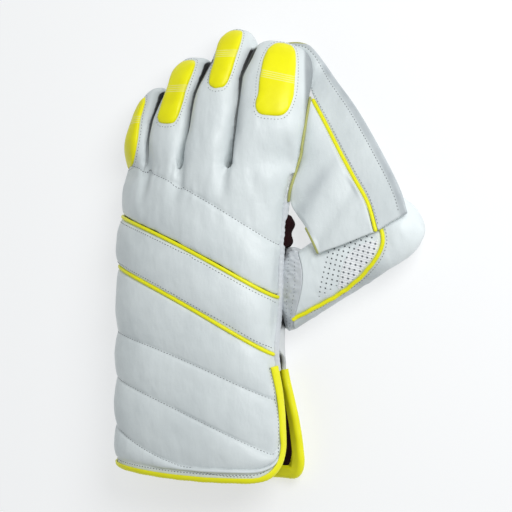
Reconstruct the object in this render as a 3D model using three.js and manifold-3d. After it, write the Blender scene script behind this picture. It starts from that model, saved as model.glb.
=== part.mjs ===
// Wicketkeeping glove for the left hand, lying palm down on a flat surface.
// Millimetres. +X points to the thumb side, +Y to the fingertips, +Z up out of the back of the hand.
// The origin is on the resting face, under the middle of the palm.
import * as THREE from "three";
import { mergeVertices } from "three/addons/utils/BufferGeometryUtils.js";
import Module from "manifold-3d";

const wasm = await Module();
wasm.setup();

// Hand and cuff
const handLength = 234; // cuff edge to finger roots
const palmReach = 120; // origin to finger roots
const handWidth = 142;
const handHeight = 58; // resting face to the crown of the back
const palmArch = 17; // how far the knuckle row rises in its middle
const archLean = 0.18; // the arch peaks this share of the half width towards the thumb
const sectionPower = 2.5; // squareness of the hand's cross-section
const slitLength = 88; // open side of the cuff, from its edge
const slitFlare = 14; // how far the palm's edge stands out beyond the back's at the mouth
const sideRise = 8; // how far the edge climbs to the little-finger side
// Free corners of the back and the palm at the cuff, and how the edge's climb fades across.
const cuffCorner = { radius: 30, reach: 0.62, power: 0.6 };
const palmCorner = { radius: 15, reach: 0.3, power: 1.6 };

// Walls and clearances
const clearance = 0.3;
const edgeWall = 3; // back panels where they are sewn
const quiltLoft = 3; // how far the padding stands above the sewn lines
const palmWall = 3;
const liningWall = 1;
const stallWall = 2.4;
const webWall = 3;
const bindingWall = 1.1;
const bindingFlange = 2.8;

// Trim
const pipingRadius = 1.7;
const welt = 2.6; // radius of the leather welt beside the thumb
const padThickness = 2.4;
const slitValley = 6; // depth of the back's furrows where the fingers part

// Thumb
const thumbLength = 99; // from its gathered base band to its tip
const thumbHalfWidth = 24;
const thumbHalfDepth = 18;
const thumbAngle = 30.5; // degrees from +X towards +Y
const thumbRoot = 0.635; // its middle, as a share of the hand's length from the cuff edge
const gussetLength = 19; // gathered band round the thumb's base
const gussetWall = 1.2;

// Web
const webPipingRadius = 1.7;
const webEdgeRadius = 1.4;
const seamBulge = 2.5; // how far its seam bows out
const webBulge = 4.2; // how far its outer edge bows out
const webCrown = 3; // how far its middle stands above its edges

// Fingers: root across and up, as shares of the hand's width and height, then millimetres, a slope sideways
// and degrees.
const fingers = [
  {
    name: "little", across: -0.314, up: 0.43, length: 61, halfWidth: 13,
    halfDepth: 14.5, sway: 0.235, roll: -31,
  },
  {
    name: "ring", across: -0.125, up: 0.586, length: 82, halfWidth: 15.3,
    halfDepth: 15.5, sway: 0.235, roll: -16,
  },
  {
    name: "middle", across: 0.116, up: 0.69, length: 102, halfWidth: 17.8,
    halfDepth: 16.5, sway: 0.232, roll: -6,
  },
  {
    name: "index", across: 0.434, up: 0.62, length: 90, halfWidth: 24.4,
    halfDepth: 16.5, sway: 0.135, roll: 20,
  },
];
const fingerTaper = 0.06;

// Pads over the fingertips: share of the finger's length, then the angles of the pad's two sides.
const padRows = {
  little: [
    { at: 0.22, left: 116, right: 72 },
    { at: 0.5, left: 132, right: 80 },
    { at: 0.85, left: 124, right: 94 },
  ],
  ring: [
    { at: 0.38, left: 106, right: 60 },
    { at: 0.65, left: 128, right: 56 },
    { at: 0.87, left: 124, right: 74 },
  ],
  middle: [
    { at: 0.55, left: 102, right: 60 },
    { at: 0.72, left: 115, right: 56 },
    { at: 0.9, left: 134, right: 78 },
  ],
  index: [
    { at: 0.41, left: 106, right: 66 },
    { at: 0.66, left: 116, right: 64 },
    { at: 0.9, left: 124, right: 80 },
  ],
};

// Cross-sections of the hand from cuff edge to finger roots. centre and half are shares of the hand's width,
// mid, top and base of its height, and arch is a share of the palm's arch.
const handSections = [
  { at: 0.0, centre: 0.07, half: 0.495, mid: 0.45, top: 0.53, base: 0.47, arch: 0 },
  { at: 0.2, centre: 0.065, half: 0.488, mid: 0.43, top: 0.55, base: 0.47, arch: 0 },
  { at: 0.4, centre: 0.046, half: 0.476, mid: 0.4, top: 0.56, base: 0.45, arch: 0 },
  { at: 0.6, centre: 0.048, half: 0.477, mid: 0.38, top: 0.56, base: 0.46, arch: 0.2 },
  { at: 0.8, centre: 0.053, half: 0.49, mid: 0.37, top: 0.44, base: 0.32, arch: 0.6 },
  { at: 1.0, centre: 0.1, half: 0.499, mid: 0.39, top: 0.29, base: 0.275, arch: 1 },
];

// Sewn lines over the back, as shares of the hand's length at its little-finger side, middle and thumb side.
// room is the least space in millimetres between a line and the cuff's bound edge.
const sewnLines = {
  knuckleStitch: { little: 1.02, middle: 0.925, thumb: 0.75 },
  upperPiping: { little: 0.85, middle: 0.747, thumb: 0.585 },
  lowerPiping: { little: 0.688, middle: 0.568, thumb: 0.4 },
  firstStitch: { little: 0.473, middle: 0.387, thumb: 0.256, room: 16 },
  secondStitch: { little: 0.327, middle: 0.216, thumb: 0.079, room: 9 },
  thirdStitch: { little: 0.174, middle: 0.045, thumb: 0.03, room: 3 },
};

const { lerp, clamp, degToRad, smoothstep } = THREE.MathUtils;
const cuffY = palmReach - handLength;
const slitTop = cuffY + slitLength;
const pipingSlot = pipingRadius + clearance;
const bindingInner = edgeWall / 2 + 2 * clearance;
const bindingOuter = bindingInner + bindingWall;
const point = (x, y, z) => new THREE.Vector3(x, y, z);

// A smooth reader for one column of a table of sections.
function column(rows, key) {
  const at = rows.map((row) => row.at);
  const values = rows.map((row) => row[key]);
  const spline = new THREE.CubicInterpolant(at, values, 1, new Float32Array(1));
  return (share) => spline.evaluate(clamp(share, at[0], at[at.length - 1]))[0];
}

const hand = {};
for (const key of ["centre", "half", "mid", "top", "base", "arch"]) {
  hand[key] = column(handSections, key);
}

// Power of a sine or cosine with its sign kept, for a squared-off ellipse.
function squared(value, power) {
  return Math.sign(value) * Math.abs(value) ** (2 / power);
}

// How far across the hand an angle lies, from -1 at the little-finger side to 1 at the thumb side.
// 0 degrees is the little-finger side, 90 the middle of the back, 180 the thumb side and -90 the palm.
function across(angle) {
  return -squared(Math.cos(degToRad(angle)), sectionPower);
}

// Point of the hand's outer surface before it is flattened where it rests.
function handRaw(angle, y) {
  const share = (y - cuffY) / handLength;
  const xi = across(angle);
  const rise = squared(Math.sin(degToRad(angle)), sectionPower);
  const arch = palmArch * hand.arch(share) * (1 - (xi - archLean) ** 2);
  const depth = handHeight * (rise > 0 ? hand.top(share) : hand.base(share));
  let z = handHeight * hand.mid(share) + arch + depth * rise;
  let x = handWidth * (hand.centre(share) + hand.half(share) * xi);
  if (rise < 0 && xi > 0) {
    const open = 1 - smoothstep(y, cuffY, slitTop + 10);
    x += slitFlare * open * smoothstep(xi, 0, 1);
  }
  return point(x, y, z);
}

// Point of the hand at a depth below its outer surface, flattened on the resting face.
function handPoint(angle, y, inset = 0) {
  const step = 2;
  const ahead = handRaw(angle + step, y);
  const behind = handRaw(angle - step, y);
  const normal = point(behind.z - ahead.z, 0, ahead.x - behind.x).normalize();
  const raw = handRaw(angle, y).addScaledVector(normal, -inset);
  const rim = 1 - smoothstep(y, cuffY + 5 * bindingFlange, cuffY + 10 * bindingFlange);
  raw.z = Math.max(raw.z, inset + rim * (bindingOuter - edgeWall / 2));
  return raw;
}

// A sewn line's height along the hand, at a place across it.
function sewn(line, xi) {
  const bend = (line.thumb + line.little) / 2 - line.middle;
  return cuffY + handLength * (line.middle + ((line.thumb - line.little) / 2) * xi + bend * xi * xi);
}

// Degrees round the hand's side that span one millimetre there.
const turnPerMm = 90 / handHeight;

// Where the thumb leaves the hand, and the edges of the panels round it.
const thumbY = cuffY + handLength * thumbRoot;
const thumbMouth = thumbHalfWidth / Math.cos(degToRad(thumbAngle)) + 5;
const weltTurn = 2 * (welt + clearance) * turnPerMm;
const backStart = -22;
const backEnd = (y) => 172 - 7 * Math.exp(-(((y - slitTop - 8) / 22) ** 2));
const palmEnd = (y) => {
  const shut = smoothstep(y, slitTop - 6, slitTop + 12);
  const free = lerp(212, 202, smoothstep(y, cuffY, slitTop));
  const beside = smoothstep(y, thumbY - thumbMouth - 4, thumbY - thumbMouth + 6);
  const past = smoothstep(y, thumbY + thumbMouth - 6, thumbY + thumbMouth + 4);
  const closed = backEnd(y) + lerp(weltTurn, clearance * turnPerMm * 1.6, past);
  return lerp(free, lerp(closed, 214, beside * (1 - past)), shut) - 360;
};

// The cuff's edge: rounded up at the little-finger side, and in a quarter circle at the free corner.
function cuffEdge(share, corner) {
  const side = sideRise * (1 - smoothstep(share, 0, corner.reach)) ** corner.power;
  const start = 1 - corner.radius / (0.9 * handWidth);
  const turn = clamp((share - start) / (1 - start), 0, 1);
  return cuffY + side + corner.radius * (1 - Math.sqrt(1 - 0.97 * turn ** 2.2));
}

function geometryOf(positions, indices) {
  const geometry = new THREE.BufferGeometry();
  geometry.setAttribute("position", new THREE.Float32BufferAttribute(positions, 3));
  geometry.setIndex(indices);
  return geometry;
}

// Turns the faces out if the solid was wound inside out.
function facingOut(geometry) {
  const p = geometry.attributes.position;
  const index = geometry.index.array;
  const [a, b, c] = [point(0, 0, 0), point(0, 0, 0), point(0, 0, 0)];
  let volume = 0;
  for (let i = 0; i < index.length; i += 3) {
    a.fromBufferAttribute(p, index[i]);
    b.fromBufferAttribute(p, index[i + 1]);
    c.fromBufferAttribute(p, index[i + 2]);
    volume += a.dot(b.cross(c));
  }
  if (volume < 0) {
    for (let i = 0; i < index.length; i += 3) {
      [index[i], index[i + 1]] = [index[i + 1], index[i]];
    }
  }
  geometry.computeVertexNormals();
  return geometry;
}

// Closed solid between two sheets of points. Each sheet is read at rows + 1 by columns + 1 places.
function slab(rows, columns, outer, inner) {
  const positions = [];
  const indices = [];
  const sheet = (rows + 1) * (columns + 1);
  const id = (face, i, j) => face * sheet + i * (columns + 1) + j;
  const quad = (a, b, c, d) => indices.push(a, b, c, a, c, d);
  for (const face of [outer, inner]) {
    for (let i = 0; i <= rows; i++) {
      for (let j = 0; j <= columns; j++) positions.push(...face(i / rows, j / columns));
    }
  }
  for (let i = 0; i < rows; i++) {
    for (let j = 0; j < columns; j++) {
      quad(id(0, i, j), id(0, i, j + 1), id(0, i + 1, j + 1), id(0, i + 1, j));
      quad(id(1, i, j), id(1, i + 1, j), id(1, i + 1, j + 1), id(1, i, j + 1));
    }
  }
  for (let i = 0; i < rows; i++) {
    quad(id(0, i, 0), id(0, i + 1, 0), id(1, i + 1, 0), id(1, i, 0));
    quad(id(0, i, columns), id(1, i, columns), id(1, i + 1, columns), id(0, i + 1, columns));
  }
  for (let j = 0; j < columns; j++) {
    quad(id(0, 0, j), id(1, 0, j), id(1, 0, j + 1), id(0, 0, j + 1));
    quad(id(0, rows, j), id(0, rows, j + 1), id(1, rows, j + 1), id(1, rows, j));
  }
  return facingOut(geometryOf(positions, indices));
}

// Closed solid through a list of rings. The first and last ring are closed by a fan, or joined if it loops.
function throughRings(rings, looped = false) {
  const sides = rings[0].length;
  const positions = [];
  const indices = [];
  for (const p of rings.flat()) positions.push(...p);
  const spans = looped ? rings.length : rings.length - 1;
  for (let i = 0; i < spans; i++) {
    const next = ((i + 1) % rings.length) * sides;
    for (let j = 0; j < sides; j++) {
      const [a, b] = [i * sides + j, i * sides + ((j + 1) % sides)];
      const [c, d] = [next + ((j + 1) % sides), next + j];
      indices.push(a, b, c, a, c, d);
    }
  }
  const ends = looped ? [] : [0, rings.length - 1];
  for (const ring of ends) {
    const middle = point(0, 0, 0);
    for (const p of rings[ring]) middle.addScaledVector(p, 1 / sides);
    const hub = positions.length / 3;
    positions.push(...middle);
    for (let j = 0; j < sides; j++) {
      const [a, b] = [ring * sides + j, ring * sides + ((j + 1) % sides)];
      indices.push(hub, ...(ring === 0 ? [b, a] : [a, b]));
    }
  }
  return facingOut(geometryOf(positions, indices));
}

// Round rod along a curve through the given points.
function rod(points, radius, steps, sides = 6) {
  const circle = new THREE.Shape();
  circle.absarc(0, 0, radius, 0, 2 * Math.PI, false);
  const geometry = new THREE.ExtrudeGeometry(circle, {
    steps,
    curveSegments: sides / 2,
    extrudePath: new THREE.CatmullRomCurve3(points, false, "centripetal"),
  });
  geometry.deleteAttribute("normal");
  geometry.deleteAttribute("uv");
  return facingOut(mergeVertices(geometry, 1e-3));
}

function solidOf(geometry) {
  const position = geometry.attributes.position.array;
  return new wasm.Manifold(
    new wasm.Mesh({
      numProp: 3,
      vertProperties: new Float32Array(position),
      triVerts: new Uint32Array(geometry.index.array),
    }),
  );
}

function geometryOfSolid(solid) {
  const mesh = solid.getMesh();
  return facingOut(geometryOf(Array.from(mesh.vertProperties), Array.from(mesh.triVerts)));
}

const group = new THREE.Group();
const finishes = {
  leather: { color: 0xd3dadd, roughness: 0.5 },
  paleLeather: { color: 0xc6cacf, roughness: 0.55 },
  yellow: { color: 0xe8e813, roughness: 0.35 },
  olive: { color: 0xb9bd55, roughness: 0.5 },
  textile: { color: 0xe9eef2, roughness: 0.9 },
  lining: { color: 0x2a0d10, roughness: 0.95 },
};

function add(name, geometry, finish) {
  const material = new THREE.MeshStandardMaterial({ ...finishes[finish], metalness: 0 });
  const mesh = new THREE.Mesh(geometry, material);
  mesh.name = name;
  group.add(mesh);
}

// Furrows in the back where neighbouring fingers part, fading towards the wrist.
function furrow(x, y) {
  let depth = 0;
  for (let i = 0; i + 1 < fingers.length; i++) {
    const [a, b] = [fingers[i], fingers[i + 1]];
    const split = lerp(a.across, b.across, a.halfWidth / (a.halfWidth + b.halfWidth)) * handWidth;
    depth += Math.exp(-(((x - split - 2) / 5) ** 2));
  }
  return slitValley * depth * smoothstep(y, palmReach - 40, palmReach);
}

// A back panel over the hand, quilted between the given lines. Each line is a function of the place across.
// firstFlat keeps the first row flat, for the binding.
function backPanel(lines, steps, columns, firstFlat) {
  const bands = lines.length - 1;
  const rows = bands * steps - (firstFlat ? steps - 1 : 0);
  const place = (u, v) => {
    let row = Math.round(u * rows);
    if (firstFlat && row > 0) row += steps - 1;
    const band = Math.min(Math.floor(row / steps), bands - 1);
    const share = row / steps - band;
    const warped = v * (1 + edgeMargin / handWidth) - edgeMargin / handWidth * v ** 12;
    let y = slitTop;
    let angle = 0;
    for (let pass = 0; pass < 6; pass++) {
      angle = lerp(backStart, backEnd(y), Math.min(warped, 1));
      y = lerp(lines[band](across(angle), v), lines[band + 1](across(angle), v), share);
    }
    const flat = firstFlat && band === 0;
    const fade = smoothstep(v, 0, 0.12) * (1 - smoothstep(v, 0.8, 0.94));
    const loft = flat ? 0 : quiltLoft * Math.sin(Math.PI * share) ** 0.7 * fade;
    return { angle, y, loft };
  };
  const outer = (u, v) => {
    const { angle, y, loft } = place(u, v);
    return handPoint(angle, y, furrow(handPoint(angle, y).x, y) - loft);
  };
  const inner = (u, v) => {
    const { angle, y } = place(u, v);
    return handPoint(angle, y, edgeWall + furrow(handPoint(angle, y).x, y));
  };
  return { rows, columns, outer, inner };
}
const slabOf = (sheet) => slab(sheet.rows, sheet.columns, sheet.outer, sheet.inner);

const along = (line, shift) => (xi) => sewn(line, xi) + shift;
const edgeMargin = bindingFlange + 1.5;
const cuffLine = (xi, v) => cuffEdge(v, cuffCorner) + bindingOuter;
const marginLine = (xi, v) => cuffLine(xi, v) + edgeMargin;
const aboveCuff = (line) => (xi, v) => Math.max(sewn(line, xi), marginLine(xi, v) + line.room);
const belowRoots = (line, space) => (xi) => Math.min(sewn(line, xi), palmReach - space);

const cuffLines = [
  cuffLine,
  marginLine,
  aboveCuff(sewnLines.thirdStitch),
  aboveCuff(sewnLines.secondStitch),
  aboveCuff(sewnLines.firstStitch),
  along(sewnLines.lowerPiping, -pipingSlot),
];
const cuffSheet = backPanel(cuffLines, 3, 18, true);
add("cuff_panel", slabOf(cuffSheet), "leather");
const bandLines = [along(sewnLines.lowerPiping, pipingSlot), along(sewnLines.upperPiping, -pipingSlot)];
add("band_panel", slabOf(backPanel(bandLines, 4, 18, false)), "leather");
const knuckleLines = [
  along(sewnLines.upperPiping, pipingSlot),
  belowRoots(sewnLines.knuckleStitch, 4),
  () => palmReach,
];
add("knuckle_panel", slabOf(backPanel(knuckleLines, 3, 20, false)), "leather");

// Palm sheet, from the little-finger side under the hand to the thumb side.
const palmSide = backStart - 3 * clearance * turnPerMm;
const palmEdge = (v) => cuffEdge(v ** 1.1, palmCorner) + bindingOuter;
const palmPlace = (u, v) => {
  const y = lerp(palmEdge(v), palmReach, u);
  return [lerp(palmSide, palmEnd(y), v), y];
};
const palmFace = (inset) => (u, v) => handPoint(...palmPlace(u, v), inset);
const palmSheet = { rows: 17, columns: 14, outer: palmFace(0), inner: palmFace(palmWall) };
add("palm_panel", slabOf(palmSheet), "leather");

// Lining inside the cuff and palm, open at the slit and over the thumb.
const liningInset = edgeWall + 6.5 * clearance;
const liningRim = bindingOuter + bindingFlange + 5;
const liningSheet = (inset) => (u, v) => {
  const split = 0.45;
  const palmShare = clamp(1 - v / split, 0, 1);
  const backShare = clamp((v - split) / (1 - split), 0, 1);
  const edge = v < split ? cuffEdge(palmShare, palmCorner) : cuffEdge(backShare, cuffCorner);
  const y = lerp(edge + liningRim, palmReach - 56, u);
  const inside = (bindingFlange + 3) * turnPerMm;
  const onPalm = lerp(palmSide, palmEnd(y) + inside, palmShare);
  const onBack = lerp(palmSide, backEnd(y) - inside, backShare);
  return handPoint(v < split ? onPalm : onBack, y, inset);
};
add("lining", slab(6, 18, liningSheet(liningInset), liningSheet(liningInset + liningWall)), "lining");

// Piping laid in the slot between two back panels.
function backPiping(line) {
  const points = [];
  const count = 16;
  for (let i = 0; i <= count; i++) {
    let y = slitTop;
    let angle = 0;
    for (let pass = 0; pass < 6; pass++) {
      angle = lerp(backStart + 4, backEnd(y) - 1, i / count);
      y = sewn(line, across(angle));
    }
    points.push(handPoint(angle, y, 0.3 * pipingRadius));
  }
  return rod(points, pipingRadius, 27);
}
add("upper_piping", backPiping(sewnLines.upperPiping), "yellow");
add("lower_piping", backPiping(sewnLines.lowerPiping), "yellow");

// Folded binding over a sheet's edge, down the free side, round the corner and along the bottom.
// It follows the sheet's own rows and columns, and starts below the given height.
function binding(sheet, stop) {
  const nodes = [];
  const middleOf = (row, column) => {
    const [u, v] = [row / sheet.rows, column / sheet.columns];
    return point(...sheet.outer(u, v)).add(point(...sheet.inner(u, v))).multiplyScalar(0.5);
  };
  const node = (row, column) => {
    const at = middleOf(row, column);
    const out = point(0, 0, 0);
    const sideways = row > 0 || column === sheet.columns;
    if (sideways) out.add(at.clone().sub(middleOf(row, column - 1)).normalize());
    if (row === 0) out.add(at.clone().sub(middleOf(1, column)).normalize());
    const normal = point(...sheet.outer(row / sheet.rows, column / sheet.columns)).sub(at);
    out.normalize();
    normal.addScaledVector(out, -normal.dot(out)).normalize();
    return { at, out, normal };
  };
  for (let row = sheet.rows; row > 0; row--) {
    const next = node(row, sheet.columns);
    if (next.at.y < stop) nodes.push(next);
  }
  for (let column = sheet.columns; column >= 0; column--) nodes.push(node(0, column));
  const last = nodes.length - 1;
  const profile = (radius) => (u, v) => {
    const { at, normal, out } = nodes[Math.round(u * last)];
    const turn = (v * 6 - 1) / 4;
    const phi = Math.PI * (0.5 - clamp(turn, 0, 1));
    const reach = turn < 0 || turn > 1 ? -bindingFlange : radius * Math.cos(phi);
    return at.clone().addScaledVector(out, reach).addScaledVector(normal, radius * Math.sin(phi));
  };
  return slab(last, 6, profile(bindingOuter), profile(bindingInner));
}
add("back_binding", binding(cuffSheet, slitTop - 3), "yellow");
add("palm_binding", binding(palmSheet, slitTop - 12), "yellow");

// Middle line of a finger, with its ways along, across and up at a share of its length.
function fingerFrame(finger, share) {
  const root = point(handWidth * finger.across, palmReach + clearance, handHeight * finger.up);
  const drop = root.z - 0.5 * finger.halfDepth;
  const at = point(
    root.x + finger.sway * finger.length * share,
    root.y + finger.length * share,
    root.z - drop * Math.max(share, 0) ** 2.2,
  );
  const turned = smoothstep(share, 0, 0.3);
  const fall = ((-2.2 * drop) / finger.length) * share ** 1.2 * turned;
  const tangent = point(finger.sway * turned, 1, fall).normalize();
  const side = tangent.clone().cross(point(0, 0, 1)).normalize();
  const rise = side.clone().cross(tangent);
  const roll = degToRad(finger.roll);
  const up = rise.clone().multiplyScalar(Math.cos(roll)).addScaledVector(side, Math.sin(roll));
  const right = side.clone().multiplyScalar(Math.cos(roll)).addScaledVector(rise, -Math.sin(roll));
  return { at, up, right };
}

// Keeps a point of one finger on its own side of the parting from a neighbour.
function parted(p, left, right, isLeft, inset) {
  const share = (finger) => (p.y - palmReach) / finger.length;
  const a = fingerFrame(left, Math.max(share(left), 0)).at;
  const b = fingerFrame(right, Math.max(share(right), 0)).at;
  const split = a.lerp(b, left.halfWidth / (left.halfWidth + right.halfWidth));
  const lean = degToRad((left.roll + right.roll) / 2);
  const off = (p.x - split.x) * Math.cos(lean) - (p.z - split.z) * Math.sin(lean);
  const room = clearance / 2 + inset;
  if (isLeft) p.x -= Math.max(off + room, 0) / Math.cos(lean);
  else p.x += Math.max(room - off, 0) / Math.cos(lean);
}

// Point of a finger's surface. turn is 0 on its thumb side and 90 on its back, inset is depth into the wall.
function fingerPoint(finger, share, turn, inset = 0) {
  const closing = 1 - (1.15 * finger.halfWidth) / finger.length;
  const q = clamp((share - closing) / (1 - closing), 0, 1);
  const k = (1 - fingerTaper * share) * (1 - q ** 2.8) ** (1 / 2.8);
  const { at, up, right } = fingerFrame(finger, share * (1 - inset / finger.length));
  const angle = degToRad(turn);
  const wide = Math.max(finger.halfWidth * k - inset, 0.5) * squared(Math.cos(angle), 2.7);
  const deep = Math.max(finger.halfDepth * k - inset, 0.5) * squared(Math.sin(angle), 2.7);
  const p = at.addScaledVector(right, wide).addScaledVector(up, deep);
  const i = fingers.indexOf(finger);
  if (i > 0) parted(p, fingers[i - 1], finger, false, inset);
  if (i + 1 < fingers.length) parted(p, finger, fingers[i + 1], true, inset);
  p.z = Math.max(p.z, inset);
  return p;
}

// Shares of a finger's length where its rings lie, closer together round the tip.
const straightRings = [0, 0.2, 0.4, 0.6, 0.8];
const roundRings = [0, 0.4, 0.7, 0.9, 0.98];
function ringShares(finger) {
  const closing = 1 - (1.15 * finger.halfWidth) / finger.length;
  return [...straightRings.map((r) => r * closing), ...roundRings.map((r) => lerp(closing, 1, r))];
}

for (const finger of fingers) {
  const sides = 12;
  const ring = (share, inset) =>
    Array.from({ length: sides }, (_, j) => fingerPoint(finger, share, (360 * (j + 0.5)) / sides, inset));
  const shares = ringShares(finger);
  const rings = [];
  for (const share of [...shares].reverse()) rings.push(ring(share, stallWall));
  for (const share of shares) rings.push(ring(share, 0));
  add("finger_" + finger.name, throughRings(rings), "leather");
}

// Pads over the fingertips' backs, lying on the stalls.
function above(surface, u, v, height) {
  const small = 0.01;
  const at = surface(u, v);
  const du = surface(u + small, v).sub(surface(u - small, v));
  const dv = surface(u, v + small).sub(surface(u, v - small));
  return at.addScaledVector(du.cross(dv).normalize(), height);
}
for (const finger of fingers) {
  const rows = padRows[finger.name];
  const left = column(rows, "left");
  const right = column(rows, "right");
  const surface = (u, v) => {
    const share = lerp(rows[0].at, rows[rows.length - 1].at, u);
    return fingerPoint(finger, share, lerp(right(share), left(share), v));
  };
  const face = (height) => (i, j) => {
    const corner = 0.12 * Math.abs(2 * j - 1) ** 3;
    const tuck = 0.5 + (j - 0.5) * (1 - 0.25 * i ** 4);
    return above(surface, lerp(corner, 1 - corner, i), tuck, height + 2 * clearance * i ** 3);
  };
  const seat = 2 * clearance;
  add("tip_pad_" + finger.name, slab(6, 5, face(seat + padThickness), face(seat)), "yellow");
}

// Rolled welt along the back's edge above the slit.
const weltPoints = [];
for (let i = 0; i <= 8; i++) {
  const y = lerp(slitTop + 3, thumbY + thumbMouth - 4, i / 8);
  weltPoints.push(handPoint(backEnd(y) + weltTurn / 2, y, welt * 0.7));
}
add("side_welt", rod(weltPoints, welt - clearance, 13, 6), "paleLeather");

// Thumb: a squared-off cylinder that lies along its own line on the resting face.
const thumbTurn = degToRad(thumbAngle);
const thumbAlong = point(Math.cos(thumbTurn), Math.sin(thumbTurn), 0);
const thumbAside = point(-Math.sin(thumbTurn), Math.cos(thumbTurn), 0);
const handSideX = handPoint(180, thumbY).x;
const thumbBase = point(handSideX + gussetLength, thumbY, thumbHalfDepth);

// Point in the thumb's middle plane, by millimetres along and aside.
function besideThumb(s, aside) {
  return thumbBase.clone().addScaledVector(thumbAlong, s).addScaledVector(thumbAside, aside);
}

function thumbScale(s) {
  const closing = 1 - (1.2 * thumbHalfWidth) / thumbLength;
  const q = clamp((s / thumbLength - closing) / (1 - closing), 0, 1);
  return (1 - 0.06 * clamp(s / thumbLength, 0, 1)) * (1 - q ** 2.6) ** (1 / 2.6);
}

// Point of the thumb's surface. turn is 0 on the index finger's side and 90 on its back.
function thumbPoint(share, turn, inset = 0) {
  const s = share * (thumbLength - inset);
  const k = thumbScale(share * thumbLength);
  const angle = degToRad(turn);
  const aside = Math.max(thumbHalfWidth * k - inset, 0.5) * squared(Math.cos(angle), sectionPower);
  const rise = Math.max(thumbHalfDepth * k - inset, 0.5) * squared(Math.sin(angle), sectionPower);
  const shear = (1 - smoothstep(share, 0, 0.45)) * Math.tan(thumbTurn) * aside;
  return besideThumb(s + shear, aside).setZ(thumbBase.z + rise);
}

// Point above the thumb's back, by millimetres along and aside.
function overThumb(s, aside, height) {
  const k = thumbScale(s);
  const edge = Math.min(Math.abs(aside) / (thumbHalfWidth * k), 1);
  const z = thumbBase.z + thumbHalfDepth * k * (1 - edge ** sectionPower) ** (1 / sectionPower);
  return besideThumb(s, aside).setZ(z + height);
}

// The thumb's sewn line between back and guard: shares of its length and of its half width.
const thumbSeam = [
  { along: -0.167, aside: -0.93 },
  { along: 0.109, aside: -0.93 },
  { along: 0.321, aside: -0.93 },
  { along: 0.502, aside: -0.87 },
  { along: 0.634, aside: -0.65 },
  { along: 0.705, aside: -0.38 },
  { along: 0.726, aside: -0.03 },
  { along: 0.714, aside: 0.3 },
];
const seamPoint = (row, height) => overThumb(row.along * thumbLength, row.aside * thumbHalfWidth, height);

// Upright block whose outline is given in plan.
function block(outline) {
  const shape = new THREE.Shape(outline.map((p) => new THREE.Vector2(p.x, p.y)));
  const geometry = new THREE.ExtrudeGeometry(shape, { depth: 3 * thumbHalfDepth, bevelEnabled: false });
  geometry.deleteAttribute("normal");
  geometry.deleteAttribute("uv");
  geometry.translate(0, 0, -thumbHalfDepth / 2);
  return solidOf(facingOut(mergeVertices(geometry, 1e-3)));
}

const thumbSides = 16;
const thumbRing = (share, inset) =>
  Array.from({ length: thumbSides }, (_, j) => thumbPoint(share, (360 * (j + 0.5)) / thumbSides, inset));
const thumbShares = [0, 0.15, 0.3, 0.45, 0.6, 0.726, 0.82, 0.9, 0.96, 0.99];
const thumbRings = [];
for (const share of [...thumbShares].reverse()) thumbRings.push(thumbRing(share, stallWall));
for (const share of thumbShares) thumbRings.push(thumbRing(share, 0));
const thumbShell = solidOf(throughRings(thumbRings));

// The guard lies beyond the seam, and the seam's piping sits in a groove between the two.
const seamPoints = thumbSeam.map((row) => seamPoint(row, 0));
const seamCurve = new THREE.CatmullRomCurve3(seamPoints, false, "centripetal");
const seamPlan = seamCurve.getSpacedPoints(24);
function seamBlock(shift) {
  const way = thumbAside.clone().sub(thumbAlong).multiplyScalar(shift * Math.SQRT1_2);
  const outline = seamPlan.map((p) => p.clone().add(way));
  const end = outline[outline.length - 1];
  outline.push(end.clone().addScaledVector(thumbAside, 2 * thumbHalfWidth));
  outline.push(besideThumb(1.4 * thumbLength, 3 * thumbHalfWidth));
  outline.push(besideThumb(1.4 * thumbLength, -3 * thumbHalfWidth));
  outline.push(besideThumb(-0.3 * thumbLength, -3 * thumbHalfWidth));
  return block(outline);
}
const thumbPipingPoints = seamPlan.slice(3, -1).map((p) => p.clone().setZ(p.z + 0.1 * pipingRadius));
const groove = solidOf(rod(thumbPipingPoints, pipingSlot, 26, 8));

// Opening of the thumb's back for the textile insert, in plan.
const insertOutline = [
  { along: 0.295, aside: -0.35 },
  { along: 0.258, aside: -0.7 },
  { along: 0.3, aside: -0.77 },
  { along: 0.406, aside: -0.76 },
  { along: 0.502, aside: -0.69 },
  { along: 0.586, aside: -0.5 },
  { along: 0.623, aside: -0.24 },
  { along: 0.562, aside: -0.07 },
  { along: 0.438, aside: 0.03 },
  { along: 0.364, aside: -0.1 },
];
function insertBlock(shift) {
  const plan = insertOutline.map((row) => seamPoint(row, 0));
  const middle = plan.reduce((sum, p) => sum.addScaledVector(p, 1 / plan.length), point(0, 0, 0));
  const outline = plan.map((p) => {
    const out = p.clone().sub(middle).setZ(0).normalize();
    return p.addScaledVector(out, shift).setZ(0);
  });
  const tall = block(outline);
  return tall.intersect(block(outline).translate([0, 0, 1.5 * thumbHalfDepth]));
}
const guardOfThumb = thumbShell.intersect(seamBlock(-clearance / 2)).subtract(groove);
add("thumb_guard", geometryOfSolid(guardOfThumb), "leather");
const backOfThumb = thumbShell.subtract(seamBlock(clearance / 2)).subtract(groove);
add("thumb_back", geometryOfSolid(backOfThumb.subtract(insertBlock(0))), "leather");
add("thumb_mesh", geometryOfSolid(thumbShell.intersect(insertBlock(-2 * clearance))), "textile");
add("thumb_piping", rod(thumbPipingPoints, pipingRadius, 26, 6), "yellow");

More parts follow.
